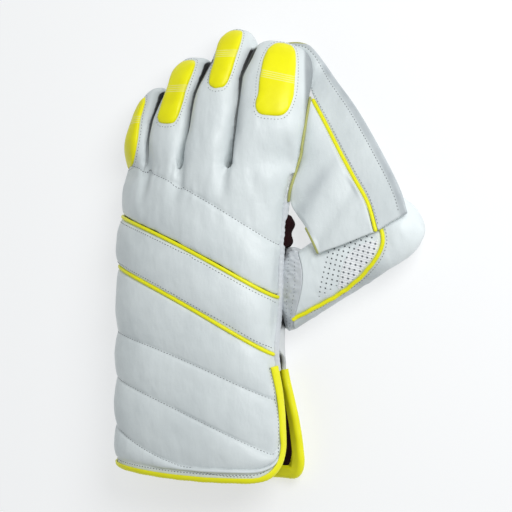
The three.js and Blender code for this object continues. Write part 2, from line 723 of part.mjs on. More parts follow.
// Gathered band from the hand's side to the thumb's base.
const gussetTop = weltTurn + 3 * clearance * turnPerMm;
function gussetPoint(u, v, inset) {
  const turn = 360 * v;
  const angle = degToRad(turn);
  const end = thumbPoint(0, turn, inset).addScaledVector(thumbAlong, -clearance * 1.5);
  const reach = squared(Math.cos(angle), sectionPower) * (thumbMouth - 7 - inset);
  const y = thumbY + reach;
  const upper = backEnd(y) + gussetTop + inset * turnPerMm;
  const lower = 222 - inset * turnPerMm;
  const edge = angle < Math.PI ? upper : lower;
  const towardsEdge = Math.abs(squared(Math.sin(angle), sectionPower));
  const onHand = handPoint(lerp((upper + lower) / 2, edge, towardsEdge), y, -clearance);
  const pucker = 0.6 * Math.sin(Math.PI * u);
  return onHand.lerp(end, u).add(point(0, 0, pucker * Math.sin(angle)));
}
const gussetSides = 24;
const gussetRing = (u, inset) =>
  Array.from({ length: gussetSides }, (_, j) => gussetPoint(u, (j + 0.5) / gussetSides, inset));
const gussetRings = [
  ...[0, 0.5, 1].map((u) => gussetRing(u, 0)),
  ...[1, 0.5, 0].map((u) => gussetRing(u, gussetWall)),
];
add("thumb_gusset", throughRings(gussetRings, true), "paleLeather");

// Web between index finger and thumb.
const index = fingers[fingers.length - 1];
const webGap = 2 * webEdgeRadius + 9 * clearance;
const besideIndex = (share, gap) => fingerPoint(index, share, -8).add(point(gap + webWall / 2, 0, 0));
const besideHand = (back, gap) => handPoint(176, palmReach - back).add(point(gap + webWall / 2, 0, 0));
const ontoThumb = (s, aside) => overThumb(s, aside, clearance + webWall);
const webSpline = (points) => new THREE.CatmullRomCurve3(points, false, "centripetal");
const bowed = (from, to, share, bow) => {
  const way = to.clone().sub(from);
  const outward = point(-way.y, way.x, 0).normalize().multiplyScalar(-1);
  if (outward.x < 0) outward.negate();
  return from.clone().lerp(to, share).addScaledVector(outward, bow * 4 * share * (1 - share));
};

const crotchEnd = ontoThumb(0.205 * thumbLength, 0.32 * thumbHalfWidth);
const panelInner = webSpline([
  besideIndex(0.5, webGap),
  besideIndex(0.25, webGap),
  besideIndex(0.03, webGap),
  besideHand(14, webGap),
  besideHand(28, webGap + 2),
  besideHand(28, webGap + 2).lerp(crotchEnd, 0.55).add(point(1, 2, 2)),
  crotchEnd,
]);
const seamHigh = besideIndex(0.57, webGap + 1);
const seamLow = ontoThumb(0.682 * thumbLength, 0.14 * thumbHalfWidth);
const seamShares = [0, 0.2, 0.4, 0.6, 0.8, 1];
const webSeamPoints = () => seamShares.map((share) => bowed(seamHigh, seamLow, share, seamBulge));
const webSeam = webSpline(webSeamPoints());
const bandInner = webSpline([besideIndex(0.95, 0.6), besideIndex(0.78, 2), ...webSeamPoints()]);
const edgeHigh = besideIndex(0.97, 10);
const edgeLow = ontoThumb(0.968 * thumbLength, 0.1 * thumbHalfWidth);
edgeLow.setZ(ontoThumb(0.788 * thumbLength, 0).z);
const edgeShares = [0, 0.15, 0.35, 0.6, 0.85, 1];
const webEdge = webSpline(edgeShares.map((share) => bowed(edgeHigh, edgeLow, share, webBulge)));

function webSheet(inner, outer, innerGap, outerGap, crown, rows, columns) {
  const surface = (u, v) => {
    const a = inner.getPointAt(clamp(u, 0, 1));
    const b = outer.getPointAt(clamp(u, 0, 1));
    const way = b.clone().sub(a);
    const length = way.length();
    const from = a.clone().addScaledVector(way, innerGap / length);
    const to = b.clone().addScaledVector(way, -outerGap / length);
    const rise = crown * Math.sin(Math.PI * clamp(v, 0, 1)) * Math.sin(Math.PI * u) ** 0.5;
    return from.lerp(to, v).add(point(0, 0, rise));
  };
  const face = (height) => (u, v) => above(surface, clamp(u, 0.02, 0.98), clamp(v, 0.02, 0.98), height);
  return slab(rows, columns, face(webWall / 2), face(-webWall / 2));
}
const webSlot = webPipingRadius + clearance;
add("web_panel", webSheet(panelInner, webSeam, 0, webSlot, webCrown, 10, 8), "leather");
add("web_band", webSheet(bandInner, webEdge, webSlot, 0, webCrown / 2, 12, 5), "leather");
add("web_piping", rod(webSeam.getSpacedPoints(14), webPipingRadius, 20), "yellow");

const edgeGap = webEdgeRadius + 7 * clearance - webWall / 2;
const edgePoints = [
  ...[0.5, 0.35, 0.2, 0.08].map((share) => besideIndex(share, edgeGap)),
  ...[16, 24].map((back) => besideHand(back, edgeGap)),
];
add("web_edge_piping", rod(edgePoints, webEdgeRadius, 16, 5), "olive");

export default group;
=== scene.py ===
import math
import bmesh
import bpy
import numpy as np
from mathutils import Vector, Matrix, noise
from mathutils.bvhtree import BVHTree


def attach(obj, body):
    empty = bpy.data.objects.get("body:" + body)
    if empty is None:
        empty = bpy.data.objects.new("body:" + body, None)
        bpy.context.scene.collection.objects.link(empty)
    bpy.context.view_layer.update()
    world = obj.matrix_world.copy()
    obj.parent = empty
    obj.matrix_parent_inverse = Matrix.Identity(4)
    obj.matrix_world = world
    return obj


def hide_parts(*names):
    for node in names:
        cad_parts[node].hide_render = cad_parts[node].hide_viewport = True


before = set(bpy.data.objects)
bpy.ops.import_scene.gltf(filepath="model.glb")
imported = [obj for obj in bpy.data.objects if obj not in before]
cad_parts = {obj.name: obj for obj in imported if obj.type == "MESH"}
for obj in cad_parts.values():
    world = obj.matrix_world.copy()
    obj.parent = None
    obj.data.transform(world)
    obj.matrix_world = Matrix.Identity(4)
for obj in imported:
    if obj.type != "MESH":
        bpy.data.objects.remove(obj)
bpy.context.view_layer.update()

mm = 0.001

# The camera
shot = {"target": (53, 54, 25), "lean": 24, "away": 1400, "lens": 131.25, "sensor": 36, "sight": 20}
lean = math.radians(shot["lean"])
towards = Vector((math.sin(lean), 0, math.cos(lean)))
rightwards = Vector((math.cos(lean), 0, -math.sin(lean)))
camData = bpy.data.cameras.new("camera")
camData.lens = shot["lens"]
camData.sensor_width = shot["sensor"]
camData.clip_end = shot["sight"]
camera = bpy.data.objects.new("camera", camData)
spot = Vector(shot["target"]) * mm + towards * shot["away"] * mm
turn = Matrix((rightwards, Vector((0, 1, 0)), towards)).transposed().to_4x4()
camera.matrix_world = Matrix.Translation(spot) @ turn
bpy.context.collection.objects.link(camera)
bpy.context.scene.camera = camera
print("camera set")


# Shader building: a Wire is a value socket that takes part in expressions.
class Wire:
    def __init__(self, paint, socket):
        self.paint = paint
        self.socket = socket

    def maths(self, kind, other=0, flip=False):
        first, second = (other, self) if flip else (self, other)
        return self.paint.node("ShaderNodeMath", {"operation": kind}, {0: first, 1: second})

    def __add__(self, other):
        return self.maths("ADD", other)

    def __sub__(self, other):
        return self.maths("SUBTRACT", other)

    def __rsub__(self, other):
        return self.maths("SUBTRACT", other, True)

    def __mul__(self, other):
        return self.maths("MULTIPLY", other)

    def __truediv__(self, other):
        return self.maths("DIVIDE", other)

    __radd__ = __add__
    __rmul__ = __mul__

    def most(self, other):
        return self.maths("MAXIMUM", other)

    def wave(self):
        return self.maths("SINE")

    def size(self):
        return self.maths("ABSOLUTE")

    def ramp(self, low, high, start=0.0, end=1.0):
        inputs = {"Value": self, "From Min": low, "From Max": high, "To Min": start, "To Max": end}
        return self.paint.node("ShaderNodeMapRange", {"interpolation_type": "SMOOTHSTEP"}, inputs)


class Paint:
    def __init__(self, name, **values):
        self.material = bpy.data.materials.new(name)
        self.material.use_nodes = True
        self.tree = self.material.node_tree
        self.shader = self.tree.nodes["Principled BSDF"]
        for key, value in values.items():
            self.shader.inputs[key.replace("_", " ")].default_value = value
        self.place = self.node("ShaderNodeTexCoord", {}, {}, "Object")

    def node(self, kind, settings, inputs, output=0):
        made = self.tree.nodes.new(kind)
        for key, value in settings.items():
            setattr(made, key, value)
        for key, value in inputs.items():
            if isinstance(value, Wire):
                self.tree.links.new(value.socket, made.inputs[key])
            else:
                made.inputs[key].default_value = value
        return Wire(self, made.outputs[output])

    def grain(self, scale, detail=2.0, rough=0.5, where=None):
        inputs = {"Vector": where or self.place, "Scale": scale, "Detail": detail, "Roughness": rough}
        return self.node("ShaderNodeTexNoise", {}, inputs, "Fac")

    def cells(self, scale):
        return self.node("ShaderNodeTexVoronoi", {}, {"Vector": self.place, "Scale": scale}, "Distance")

    def stretched(self, x, y, z):
        return self.node("ShaderNodeVectorMath", {"operation": "MULTIPLY"}, {0: self.place, 1: (x, y, z)})

    def along(self, x, y, z):
        inputs = {0: self.place, 1: (x, y, z)}
        return self.node("ShaderNodeVectorMath", {"operation": "DOT_PRODUCT"}, inputs, "Value")

    def vertexValue(self, name):
        return self.node("ShaderNodeAttribute", {"attribute_name": name}, {}, "Fac")

    def mix(self, factor, first, second):
        inputs = {0: factor, 6: first, 7: second}
        return self.node("ShaderNodeMix", {"data_type": "RGBA"}, inputs, 2)

    def set(self, **wires):
        for key, wire in wires.items():
            self.tree.links.new(wire.socket, self.shader.inputs[key.replace("_", " ")])

    def bump(self, height, distance, strength=1.0):
        inputs = {"Height": height, "Distance": distance, "Strength": strength}
        self.set(Normal=self.node("ShaderNodeBump", {}, inputs, "Normal"))


def colour(red, green, blue):
    share = [((c / 255 + 0.055) / 1.055) ** 2.4 if c > 10 else c / 255 / 12.92 for c in (red, green, blue)]
    return (*share, 1)


def leatherPaint(name, tone, shade, roughness=0.44, grain=1.0, crease=1.0, marks=None):
    paint = Paint(name, Specular_IOR_Level=0.45)
    patches = paint.grain(22, 3, 0.55).ramp(0.3, 0.75)
    smudge = paint.grain(95, 4, 0.6).ramp(0.5, 0.85)
    base = paint.mix(patches * 0.55 + smudge * 0.2, colour(*tone), colour(*shade))
    pores = paint.cells(1500)
    fine = paint.grain(3200, 2)
    folds = paint.grain(70, 3, 0.6, paint.stretched(1.0, 0.55, 1.0))
    height = pores * 0.06 * grain + fine * 0.03 * grain + folds.ramp(0.25, 0.75) * 0.42 * crease
    rough = patches * 0.08 + smudge * 0.06 + pores * 0.05 + (roughness - 0.06)
    if marks:
        height, base = marks(paint, height, base)
    paint.set(Base_Color=base, Roughness=rough)
    paint.bump(height, 0.0011, 0.85)
    return paint


def trimPaint(name, tone, deep, bands=None):
    paint = Paint(name, Specular_IOR_Level=0.28)
    patches = paint.grain(40, 3, 0.6).ramp(0.3, 0.8)
    base = paint.mix(patches * 0.6, colour(*tone), colour(*deep))
    pores = paint.cells(1700)
    height = pores * 0.07 + paint.grain(130, 3) * 0.25
    if bands:
        pale = bands(paint)
        base = paint.mix(pale, base, colour(240, 238, 150))
        height = height + pale * 0.12
    paint.set(Base_Color=base, Roughness=patches * 0.1 + 0.34)
    paint.bump(height, 0.001, 0.7)
    return paint


def threadPaint(name, tone):
    paint = Paint(name, Roughness=0.75)
    twist = paint.along(5200, 3100, 4100).wave().ramp(-1, 1)
    paint.set(Base_Color=paint.mix(twist * 0.5, colour(*tone), colour(*[c * 0.72 for c in tone])))
    paint.bump(twist, 0.0002, 0.6)
    return paint


thumb = {"length": 99, "wide": 24, "deep": 18, "turn": 30.5, "gusset": 19}
thumbTurn = math.radians(thumb["turn"])
# Perforations over the thumb's back. They start at a line across it and stop beside the cord.
perforation = {"pitch": 2.65, "base": (88.6, 34.6), "start": 0.28, "lean": 0.242, "end": 0.71}


def thumbPlan(paint):
    # Millimetres along and aside of the thumb, as wires.
    c, s = math.cos(thumbTurn), math.sin(thumbTurn)
    x, y = perforation["base"][0] * mm, perforation["base"][1] * mm
    along = (paint.along(c, s, 0) - (x * c + y * s)) * 1000
    aside = (paint.along(-s, c, 0) - (y * c - x * s)) * 1000
    return along, aside


def holes(along, aside, small, large):
    u = (along + aside) * (0.5 / perforation["pitch"]) + 40
    v = (along - aside) * (0.5 / perforation["pitch"]) + 40
    du = u.maths("FRACT") - 0.5
    dv = v.maths("FRACT") - 0.5
    return (du * du + dv * dv).maths("SQRT").ramp(small, large, 1, 0)


def perforated(paint, height, base):
    p = perforation
    along, aside = thumbPlan(paint)
    share, beside = along / thumb["length"], aside / thumb["wide"]
    beyond = (share - 0.25).most(0)
    ended = share.ramp(p["end"], p["end"] + 0.01, 1, 0)
    clear = (beside + 0.9 - beyond * beyond * 3).ramp(0.1, 0.16) * ended
    started = (share - beside * p["lean"]).ramp(p["start"], p["start"] + 0.02)
    mask = holes(along, aside, 0.09, 0.2) * started * clear
    # Painted shade: the leather beyond the cord is greyed where the vertex value rim is set.
    rim = paint.vertexValue("rim")
    shaded = paint.mix((paint.grain(60, 3) * 0.6 + 0.4) * rim, base, colour(150, 157, 162))
    return height - mask * 1.3, paint.mix(mask, shaded, colour(88, 94, 99))


def shadedRolledEdge(paint, height, base):
    # Painted shade: leather greyer where it rolls over away from the light and along a fold, where the
    # vertex value rim is set.
    grey = (paint.grain(60, 3) * 0.7 + 0.35) * paint.vertexValue("rim")
    return height, paint.mix(grey, base, colour(170, 177, 182))


def shadedSlits(paint, height, base):
    # Painted shade: a dark line where the fingers touch each other, wavering a little, and soft painted
    # shade on their flanks.
    off, tone = paint.vertexValue("slitOff"), paint.vertexValue("slitTone")
    waver = (paint.grain(260, 2) - 0.5) * 0.12
    line = (off + waver).size().ramp(0.93, 1.01, 1, 0)
    soft = off.size().ramp(0.95, 1.7, 1, 0)
    flank = paint.vertexValue("flank") * (paint.grain(70, 3) * 0.5 + 0.6)
    shaded = paint.mix((soft * tone * 0.3).most(flank), base, colour(112, 119, 124))
    return height - line * tone * 0.8, paint.mix(line * tone, shaded, colour(4, 4, 5))


def liningPaint():
    paint = Paint("darkLining", Roughness=0.95, Specular_IOR_Level=0.15)
    weave = (paint.along(5200, 0, 5200).wave() * paint.along(0, 5200, 0).wave()).ramp(-1, 1)
    wearAndFoldShade = weave * 0.5 + paint.grain(60) * 0.4
    paint.set(Base_Color=paint.mix(wearAndFoldShade, colour(44, 14, 18), colour(16, 5, 7)))
    paint.bump(weave, 0.0003, 0.6)
    return paint


def textilePaint():
    paint = Paint("whiteTextile", Roughness=0.85)
    along, aside = thumbPlan(paint)
    hole = holes(along, aside, 0.12, 0.26)
    weft = ((along * 9).wave() * (aside * 9).wave()).ramp(-1, 1)
    strands = ((along + aside) * 2.37).wave().ramp(-0.4, 0.8)
    tone = paint.mix(strands * 0.35, colour(248, 250, 252), colour(214, 219, 223))
    paint.set(Base_Color=paint.mix(hole, tone, colour(128, 134, 140)))
    paint.bump(weft * 0.15 + strands * 0.2 - hole, 0.0008, 0.9)
    return paint


whiteLeather = leatherPaint("lightLeather", (222, 229, 230), (206, 214, 216))
# Painted light: the thumb's leather is a lighter copy of the others, to brighten it where it lies in shade;
# its paint also carries painted shade beyond the cord.
perforatedLeather = leatherPaint("thumbLeather", (231, 238, 239), (216, 224, 226), marks=perforated)
bandLeather = leatherPaint("bandLeather", (222, 229, 230), (206, 214, 216), marks=shadedRolledEdge)
fingerLeather = leatherPaint("fingerLeather", (222, 229, 230), (206, 214, 216), marks=shadedSlits)
paleLeather = leatherPaint("gatheredLeather", (212, 216, 220), (190, 196, 201), crease=1.6)
palmLeather = leatherPaint("palmLeather", (221, 224, 224), (200, 205, 207), roughness=0.5, grain=2.2)
yellow = trimPaint("yellowTrim", (243, 241, 30), (228, 224, 12))
# The olive trim is the yellow piping painted darker, as painted shade where it lies in the grooves beside
# the web.
shadedYellow = trimPaint("shadedYellowTrim", (178, 180, 108), (150, 153, 92))
# The thread's grey is darker than the leather: partly its own tone, partly painted shade of the stitch
# holes.
greyThread = threadPaint("greyThread", (118, 123, 128))
darkLining = liningPaint()
whiteTextile = textilePaint()
print("paints ready")


# Small tools for shapes
def step(x, low, high):
    t = np.clip((np.asarray(x, float) - low) / (high - low), 0, 1)
    return t * t * (3 - 2 * t)


def bell(x, width):
    return np.exp(-((x / width) ** 2))


def unit(v):
    return v / (np.linalg.norm(v, axis=-1, keepdims=True) + 1e-12)


def alike(*values):
    return np.broadcast_arrays(*[np.asarray(value, float) for value in values])


def runLength(points):
    return np.concatenate([[0], np.cumsum(np.linalg.norm(np.diff(points, axis=0), axis=1))])


def readAt(places, run, rows):
    return np.stack([np.interp(places, run, rows[:, k]) for k in range(3)], -1)


def ripples(points, scale, seed):
    shift = Vector((seed * 3.7, seed * 1.3, seed * 2.1))
    lifts = [noise.noise(Vector(p) * scale + shift) for p in points.reshape(-1, 3)]
    return np.array(lifts).reshape(points.shape[:-1])


# The hand's surface, the same one that the solids follow, in millimetres.
hand = {"length": 234, "reach": 120, "width": 142, "height": 58, "arch": 17, "archLean": 0.18, "power": 2.5,
        "slit": 88, "flare": 14}
sections = {
    "at": [0.0, 0.2, 0.4, 0.6, 0.8, 1.0],
    "centre": [0.07, 0.065, 0.046, 0.048, 0.053, 0.1],
    "half": [0.495, 0.488, 0.476, 0.477, 0.49, 0.499],
    "mid": [0.45, 0.43, 0.4, 0.38, 0.37, 0.39],
    "top": [0.53, 0.55, 0.56, 0.56, 0.44, 0.29],
    "base": [0.47, 0.47, 0.45, 0.46, 0.32, 0.275],
    "arch": [0, 0, 0, 0.2, 0.6, 1],
}
cuffY = hand["reach"] - hand["length"]
slitTop = cuffY + hand["slit"]
root = hand["reach"]


def section(name, share):
    at, values = np.array(sections["at"]), np.array(sections[name], float)
    slope = np.gradient(values, at)
    t = np.clip(share, 0, 1)
    i = np.clip(np.searchsorted(at, t, side="right") - 1, 0, len(at) - 2)
    width = at[i + 1] - at[i]
    s = (t - at[i]) / width
    a, b = values[i], values[i + 1]
    h = s * s * (3 - 2 * s)
    return a + (b - a) * h + width * (slope[i] * s * (1 - s) ** 2 - slope[i + 1] * s * s * (1 - s))


def squared(value, power):
    return np.sign(value) * np.abs(value) ** (2 / power)


def across(angle):
    return -squared(np.cos(np.radians(angle)), hand["power"])


def handRaw(angle, y):
    angle, y = alike(angle, y)
    share = (y - cuffY) / hand["length"]
    xi = across(angle)
    rise = squared(np.sin(np.radians(angle)), hand["power"])
    arch = hand["arch"] * section("arch", share) * (1 - (xi - hand["archLean"]) ** 2)
    depth = hand["height"] * np.where(rise > 0, section("top", share), section("base", share))
    z = hand["height"] * section("mid", share) + arch + depth * rise
    x = hand["width"] * (section("centre", share) + section("half", share) * xi)
    opened = (1 - step(y, cuffY, slitTop + 10)) * step(xi, 0, 1) * hand["flare"]
    x = x + np.where((rise < 0) & (xi > 0), opened, 0)
    return np.stack([x, y, z], -1)


def handPoint(angle, y, inset=0.0):
    ahead, behind = handRaw(np.asarray(angle) + 2, y), handRaw(np.asarray(angle) - 2, y)
    flat = np.zeros(ahead.shape[:-1])
    normal = np.stack([behind[..., 2] - ahead[..., 2], flat, ahead[..., 0] - behind[..., 0]], -1)
    normal /= np.linalg.norm(normal, axis=-1, keepdims=True) + 1e-9
    inset = np.asarray(inset, float)
    raw = handRaw(angle, y) - normal * inset[..., None]
    rim = 1 - step(raw[..., 1], cuffY + 14, cuffY + 28)
    raw[..., 2] = np.maximum(raw[..., 2], inset + rim * 1.7)
    return raw


seams = {
    "knuckle": (1.02, 0.925, 0.75),
    "upper": (0.85, 0.747, 0.585),
    "lower": (0.688, 0.568, 0.4),
    "first": (0.473, 0.387, 0.256),
    "second": (0.327, 0.216, 0.079),
    "third": (0.174, 0.045, 0.03),
}


def seamY(name, xi):
    little, middle, thumb = seams[name]
    bend = (thumb + little) / 2 - middle
    return cuffY + hand["length"] * (middle + (thumb - little) / 2 * xi + bend * xi * xi)


turnPerMm = 90 / hand["height"]
thumbY = cuffY + hand["length"] * 0.635
thumbMouth = thumb["wide"] / math.cos(thumbTurn) + 5
backStart = -22.0
palmStart = backStart - 1.2


def backEnd(y):
    return 172 - 7 * bell(y - slitTop - 8, 22)


def palmEnd(y):
    shut = step(y, slitTop - 6, slitTop + 12)
    free = 212 - 10 * step(y, cuffY, slitTop)
    beside = step(y, thumbY - thumbMouth - 4, thumbY - thumbMouth + 6)
    past = step(y, thumbY + thumbMouth - 6, thumbY + thumbMouth + 4)
    closed = backEnd(y) + 9 - 8.2 * past
    opened = beside * (1 - past)
    return free + (closed + (214 - closed) * opened - free) * shut - 360


backCorner = {"radius": 30, "reach": 0.62, "power": 0.6}
palmCorner = {"radius": 15, "reach": 0.3, "power": 1.6}


def cuffEdge(share, corner):
    side = 8 * (1 - step(share, 0, corner["reach"])) ** corner["power"]
    start = 1 - corner["radius"] / (0.9 * hand["width"])
    t = np.clip((share - start) / (1 - start), 0, 1)
    return cuffY + side + corner["radius"] * (1 - np.sqrt(1 - 0.97 * t ** 2.2))


# Fingers
fingers = [
    {"name": "little", "across": -0.314, "up": 0.43, "length": 61, "wide": 13.0, "deep": 14.5, "sway": 0.235,
     "roll": -31, "round": 2.8},
    {"name": "ring", "across": -0.125, "up": 0.586, "length": 82, "wide": 15.3, "deep": 15.5, "sway": 0.235,
     "roll": -16, "round": 3.6},
    {"name": "middle", "across": 0.116, "up": 0.69, "length": 102, "wide": 17.8, "deep": 16.5, "sway": 0.232,
     "roll": -6, "round": 2.8},
    {"name": "index", "across": 0.434, "up": 0.62, "length": 90, "wide": 24.4, "deep": 16.5, "sway": 0.135,
     "roll": 20, "round": 3.8},
]
fingerTaper = 0.06
# The slits between neighbours: how far each one leans off the straight parting, at places along the hand.
# left and right bound a painted dark band of shade beside each slit, and top is where that band ends.
slits = [
    {"at": (117, 140, 158, 178), "aside": (1.9, -1.4, -3.3, -1.6), "top": 180,
     "left": ((118, 131, 141, 152, 163, 173, 178), (-0.5, -1.0, -1.6, -2.0, -2.5, -3.4, -4.6)),
     "right": ((118, 131, 141, 152, 163, 173, 178), (0.4, 0.8, 1.8, 4, 6.5, 8.6, 11))},
    {"at": (120, 150, 177, 199), "aside": (4.0, 1.5, -1.9, 1.2), "top": 201,
     "left": ((118, 131, 148, 163, 176, 186, 195, 200), (-0.4, -0.7, -1.7, -2.5, -3.1, -4.0, -5.2, -6.6)),
     "right": ((118, 131, 148, 163, 176, 186, 195, 200), (0.4, 0.8, 2.2, 4, 6, 8, 8, 9))},
    {"at": (120, 150, 166, 187, 208), "aside": (4.0, 1.8, 0.0, -4.6, -4.6), "top": 209,
     "left": ((118, 131, 141, 157, 172, 189, 200, 208), (-0.4, -0.4, -0.4, -1.0, -0.6, -1.2, -1.2, -0.9)),
     "right": ((118, 131, 141, 157, 172, 189, 200, 208), (0.4, 0.8, 1.2, 2.0, 3.2, 3.6, 5, 5.5))},
]
# Reach and depth of the shade on the thumb side of each slit
flanks = [(3, 0.25), (3, 0.25), (6.5, 0.5)]


def seenAcross(p):
    # How far a point lies to the thumb side, as the camera sees it.
    aside, high = p[..., 0] - shot["target"][0], p[..., 2] - shot["target"][2]
    return aside * math.cos(lean) - high * math.sin(lean)


def fingerMiddle(finger, share):
    share = np.asarray(share, float)
    x0, z0 = hand["width"] * finger["across"], hand["height"] * finger["up"]
    drop = z0 - 0.5 * finger["deep"]
    x = x0 + finger["sway"] * finger["length"] * share
    y = root + 0.3 + finger["length"] * share
    return np.stack([x, y, z0 - drop * np.maximum(share, 0) ** 2.2], -1), drop


def parting(p, i):
    # How far a point lies to the thumb side of the plane between finger i and the next, and its tilt.
    one, two = fingers[i], fingers[i + 1]
    ahead = np.maximum(p[..., 1] - root, 0)
    a, _ = fingerMiddle(one, ahead / one["length"])
    b, _ = fingerMiddle(two, ahead / two["length"])
    split = a + (b - a) * (one["wide"] / (one["wide"] + two["wide"]))
    tilt = math.radians((one["roll"] + two["roll"]) / 2)
    return (p[..., 0] - split[..., 0]) * math.cos(tilt) - (p[..., 2] - split[..., 2]) * math.sin(tilt), tilt


def asideOf(i, y):
    return np.interp(y, slits[i]["at"], slits[i]["aside"])


def leaning(p):
    # The sideways shift that carries the fingers along with the slits between them.
    places, shifts = [], []
    for i in range(len(slits)):
        off, tilt = parting(p, i)
        places.append(off / math.cos(tilt))
        shifts.append(asideOf(i, p[..., 1]))
    places = [places[0] + 24] + places + [places[-1] - 42]
    webSide = np.interp(p[..., 1], (100, 125, 150, 172, 188, 200), (3.6, 3.6, 3.6, 2.2, 0, -1))
    shifts = [0 * shifts[0]] + shifts + [webSide]
    total = shifts[0]
    for near, far, low, high in zip(places, places[1:], shifts, shifts[1:]):
        total = total + (high - low) * np.clip(near / (near - far + 1e-6), 0, 1)
    return total


def furrow(x, y):
    depth = 0
    for i, (one, two) in enumerate(zip(fingers, fingers[1:])):
        split = one["across"] + (two["across"] - one["across"]) * one["wide"] / (one["wide"] + two["wide"])
        middle = hand["width"] * split + slits[i]["aside"][0]
        depth = depth + bell(x - middle, 5)
    return 6 * depth * step(y, root - 34, root)


def topOfHand(x):
    # Height of the back above the finger roots, at a place across.
    xi = np.clip((x / hand["width"] - section("centre", 1.0)) / section("half", 1.0), -0.985, 0.985)
    rise = (1 - np.abs(xi) ** hand["power"]) ** (1 / hand["power"])
    arch = hand["arch"] * (1 - (xi - hand["archLean"]) ** 2)
    level = hand["height"] * (section("mid", 1.0) + section("top", 1.0) * rise) + arch
    return level - furrow(x, root)


def fingerClosing(finger):
    return 1 - 1.15 * finger["wide"] / finger["length"]


def fingerPoint(finger, share, angle, inset=0.0, gap=0.15):
    share, angle, inset = alike(share, angle, inset)
    closing = fingerClosing(finger)
    q = np.clip((share - closing) / (1 - closing), 0, 1)
    k = (1 - fingerTaper * share) * (1 - q ** finger["round"]) ** (1 / finger["round"])
    along = share * (1 - inset / finger["length"])
    at, drop = fingerMiddle(finger, along)
    turned = step(along, 0, 0.3)
    dip = -2.2 * drop / finger["length"] * np.maximum(along, 0) ** 1.2 * turned
    tangent = unit(np.stack([finger["sway"] * turned, np.ones_like(dip), dip], -1))
    side = unit(np.cross(tangent, np.array([0, 0, 1.0])))
    lift = np.cross(side, tangent)
    roll = math.radians(finger["roll"])
    up = lift * math.cos(roll) + side * math.sin(roll)
    right = side * math.cos(roll) - lift * math.sin(roll)
    a = np.radians(angle)
    wide = np.maximum(finger["wide"] * k - inset, 0.4) * squared(np.cos(a), 2.7)
    deep = np.maximum(finger["deep"] * k - inset, 0.4) * squared(np.sin(a), 2.7)
    p = at + right * wide[..., None] + up * deep[..., None]
    i = fingers.index(finger)
    for left, rightOne, isLeft in ((i - 1, i, False), (i, i + 1, True)):
        if left < 0 or rightOne >= len(fingers):
            continue
        off, tilt = parting(p, left)
        opening = gap * step(p[..., 1], root - 2, root + 22) + gap * step(p[..., 1], root + 30, root + 85)
        room = opening + inset
        if isLeft:
            p[..., 0] -= np.maximum(off + room, 0) / math.cos(tilt)
        else:
            p[..., 0] += np.maximum(room - off, 0) / math.cos(tilt)
    p[..., 0] += leaning(p)
    joined = (1 - step(p[..., 1], root, root + 30)) * step(np.sin(a), 0.0, 0.55)
    p[..., 2] += (topOfHand(p[..., 0]) - inset - p[..., 2]) * joined
    p[..., 2] = np.maximum(p[..., 2], inset + 0.4)
    return p


# Thumb
thumbAlong = np.array([math.cos(thumbTurn), math.sin(thumbTurn), 0])
thumbAside = np.array([-math.sin(thumbTurn), math.cos(thumbTurn), 0])
thumbBase = np.array([handPoint(180, thumbY)[0] + thumb["gusset"], thumbY, thumb["deep"]])
thumbClosing = 1 - 1.2 * thumb["wide"] / thumb["length"]


def thumbScale(s):
    q = np.clip((s / thumb["length"] - thumbClosing) / (1 - thumbClosing), 0, 1)
    return (1 - 0.06 * np.clip(s / thumb["length"], 0, 1)) * (1 - q ** 2.6) ** (1 / 2.6)


def thumbPoint(share, angle, inset=0.0):
    share, angle, inset = alike(share, angle, inset)
    k = thumbScale(share * thumb["length"])
    a = np.radians(angle)
    aside = np.maximum(thumb["wide"] * k - inset, 0.4) * squared(np.cos(a), 2.5)
    rise = np.maximum(thumb["deep"] * k - inset, 0.4) * squared(np.sin(a), 2.5)
    bow = 1.8 - 12.5 * (aside / thumb["wide"] - 0.1) ** 2
    shear = (1 - step(share, 0, 0.45)) * (math.tan(thumbTurn) * aside + bow)
    s = share * (thumb["length"] - inset) + shear
    p = thumbBase + s[..., None] * thumbAlong + aside[..., None] * thumbAside
    p[..., 2] = thumbBase[2] + rise
    return p


def overThumb(s, aside, height=0.0):
    s, aside = np.asarray(s, float), np.asarray(aside, float)
    k = thumbScale(s)
    edge = np.minimum(np.abs(aside) / (thumb["wide"] * k), 1)
    z = thumbBase[2] + thumb["deep"] * k * (1 - edge ** 2.5) ** (1 / 2.5) + height
    p = thumbBase + s[..., None] * thumbAlong + aside[..., None] * thumbAside
    p[..., 2] = z
    return p


print("surfaces ready")


# Mesh making
def finish(name, verts, faces, paint, slot, nodes=()):
    mesh = bpy.data.meshes.new(name)
    mesh.from_pydata((np.asarray(verts, float) * mm).tolist(), [], faces)
    mesh.validate()
    mesh.update()
    mesh.polygons.foreach_set("use_smooth", [True] * len(mesh.polygons))
    piece = bpy.data.objects.new(name, mesh)
    bpy.context.collection.objects.link(piece)
    piece.data.materials.append(paint.material)
    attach(piece, "root")
    if nodes:
        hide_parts(*nodes)
    return piece


def outwardFacing(piece):
    bm = bmesh.new()
    bm.from_mesh(piece.data)
    bmesh.ops.recalc_face_normals(bm, faces=bm.faces)
    bm.to_mesh(piece.data)
    bm.free()
    return piece


def vertexValues(piece, name, values):
    piece.data.attributes.new(name, "FLOAT", "POINT").data.foreach_set("value", values)


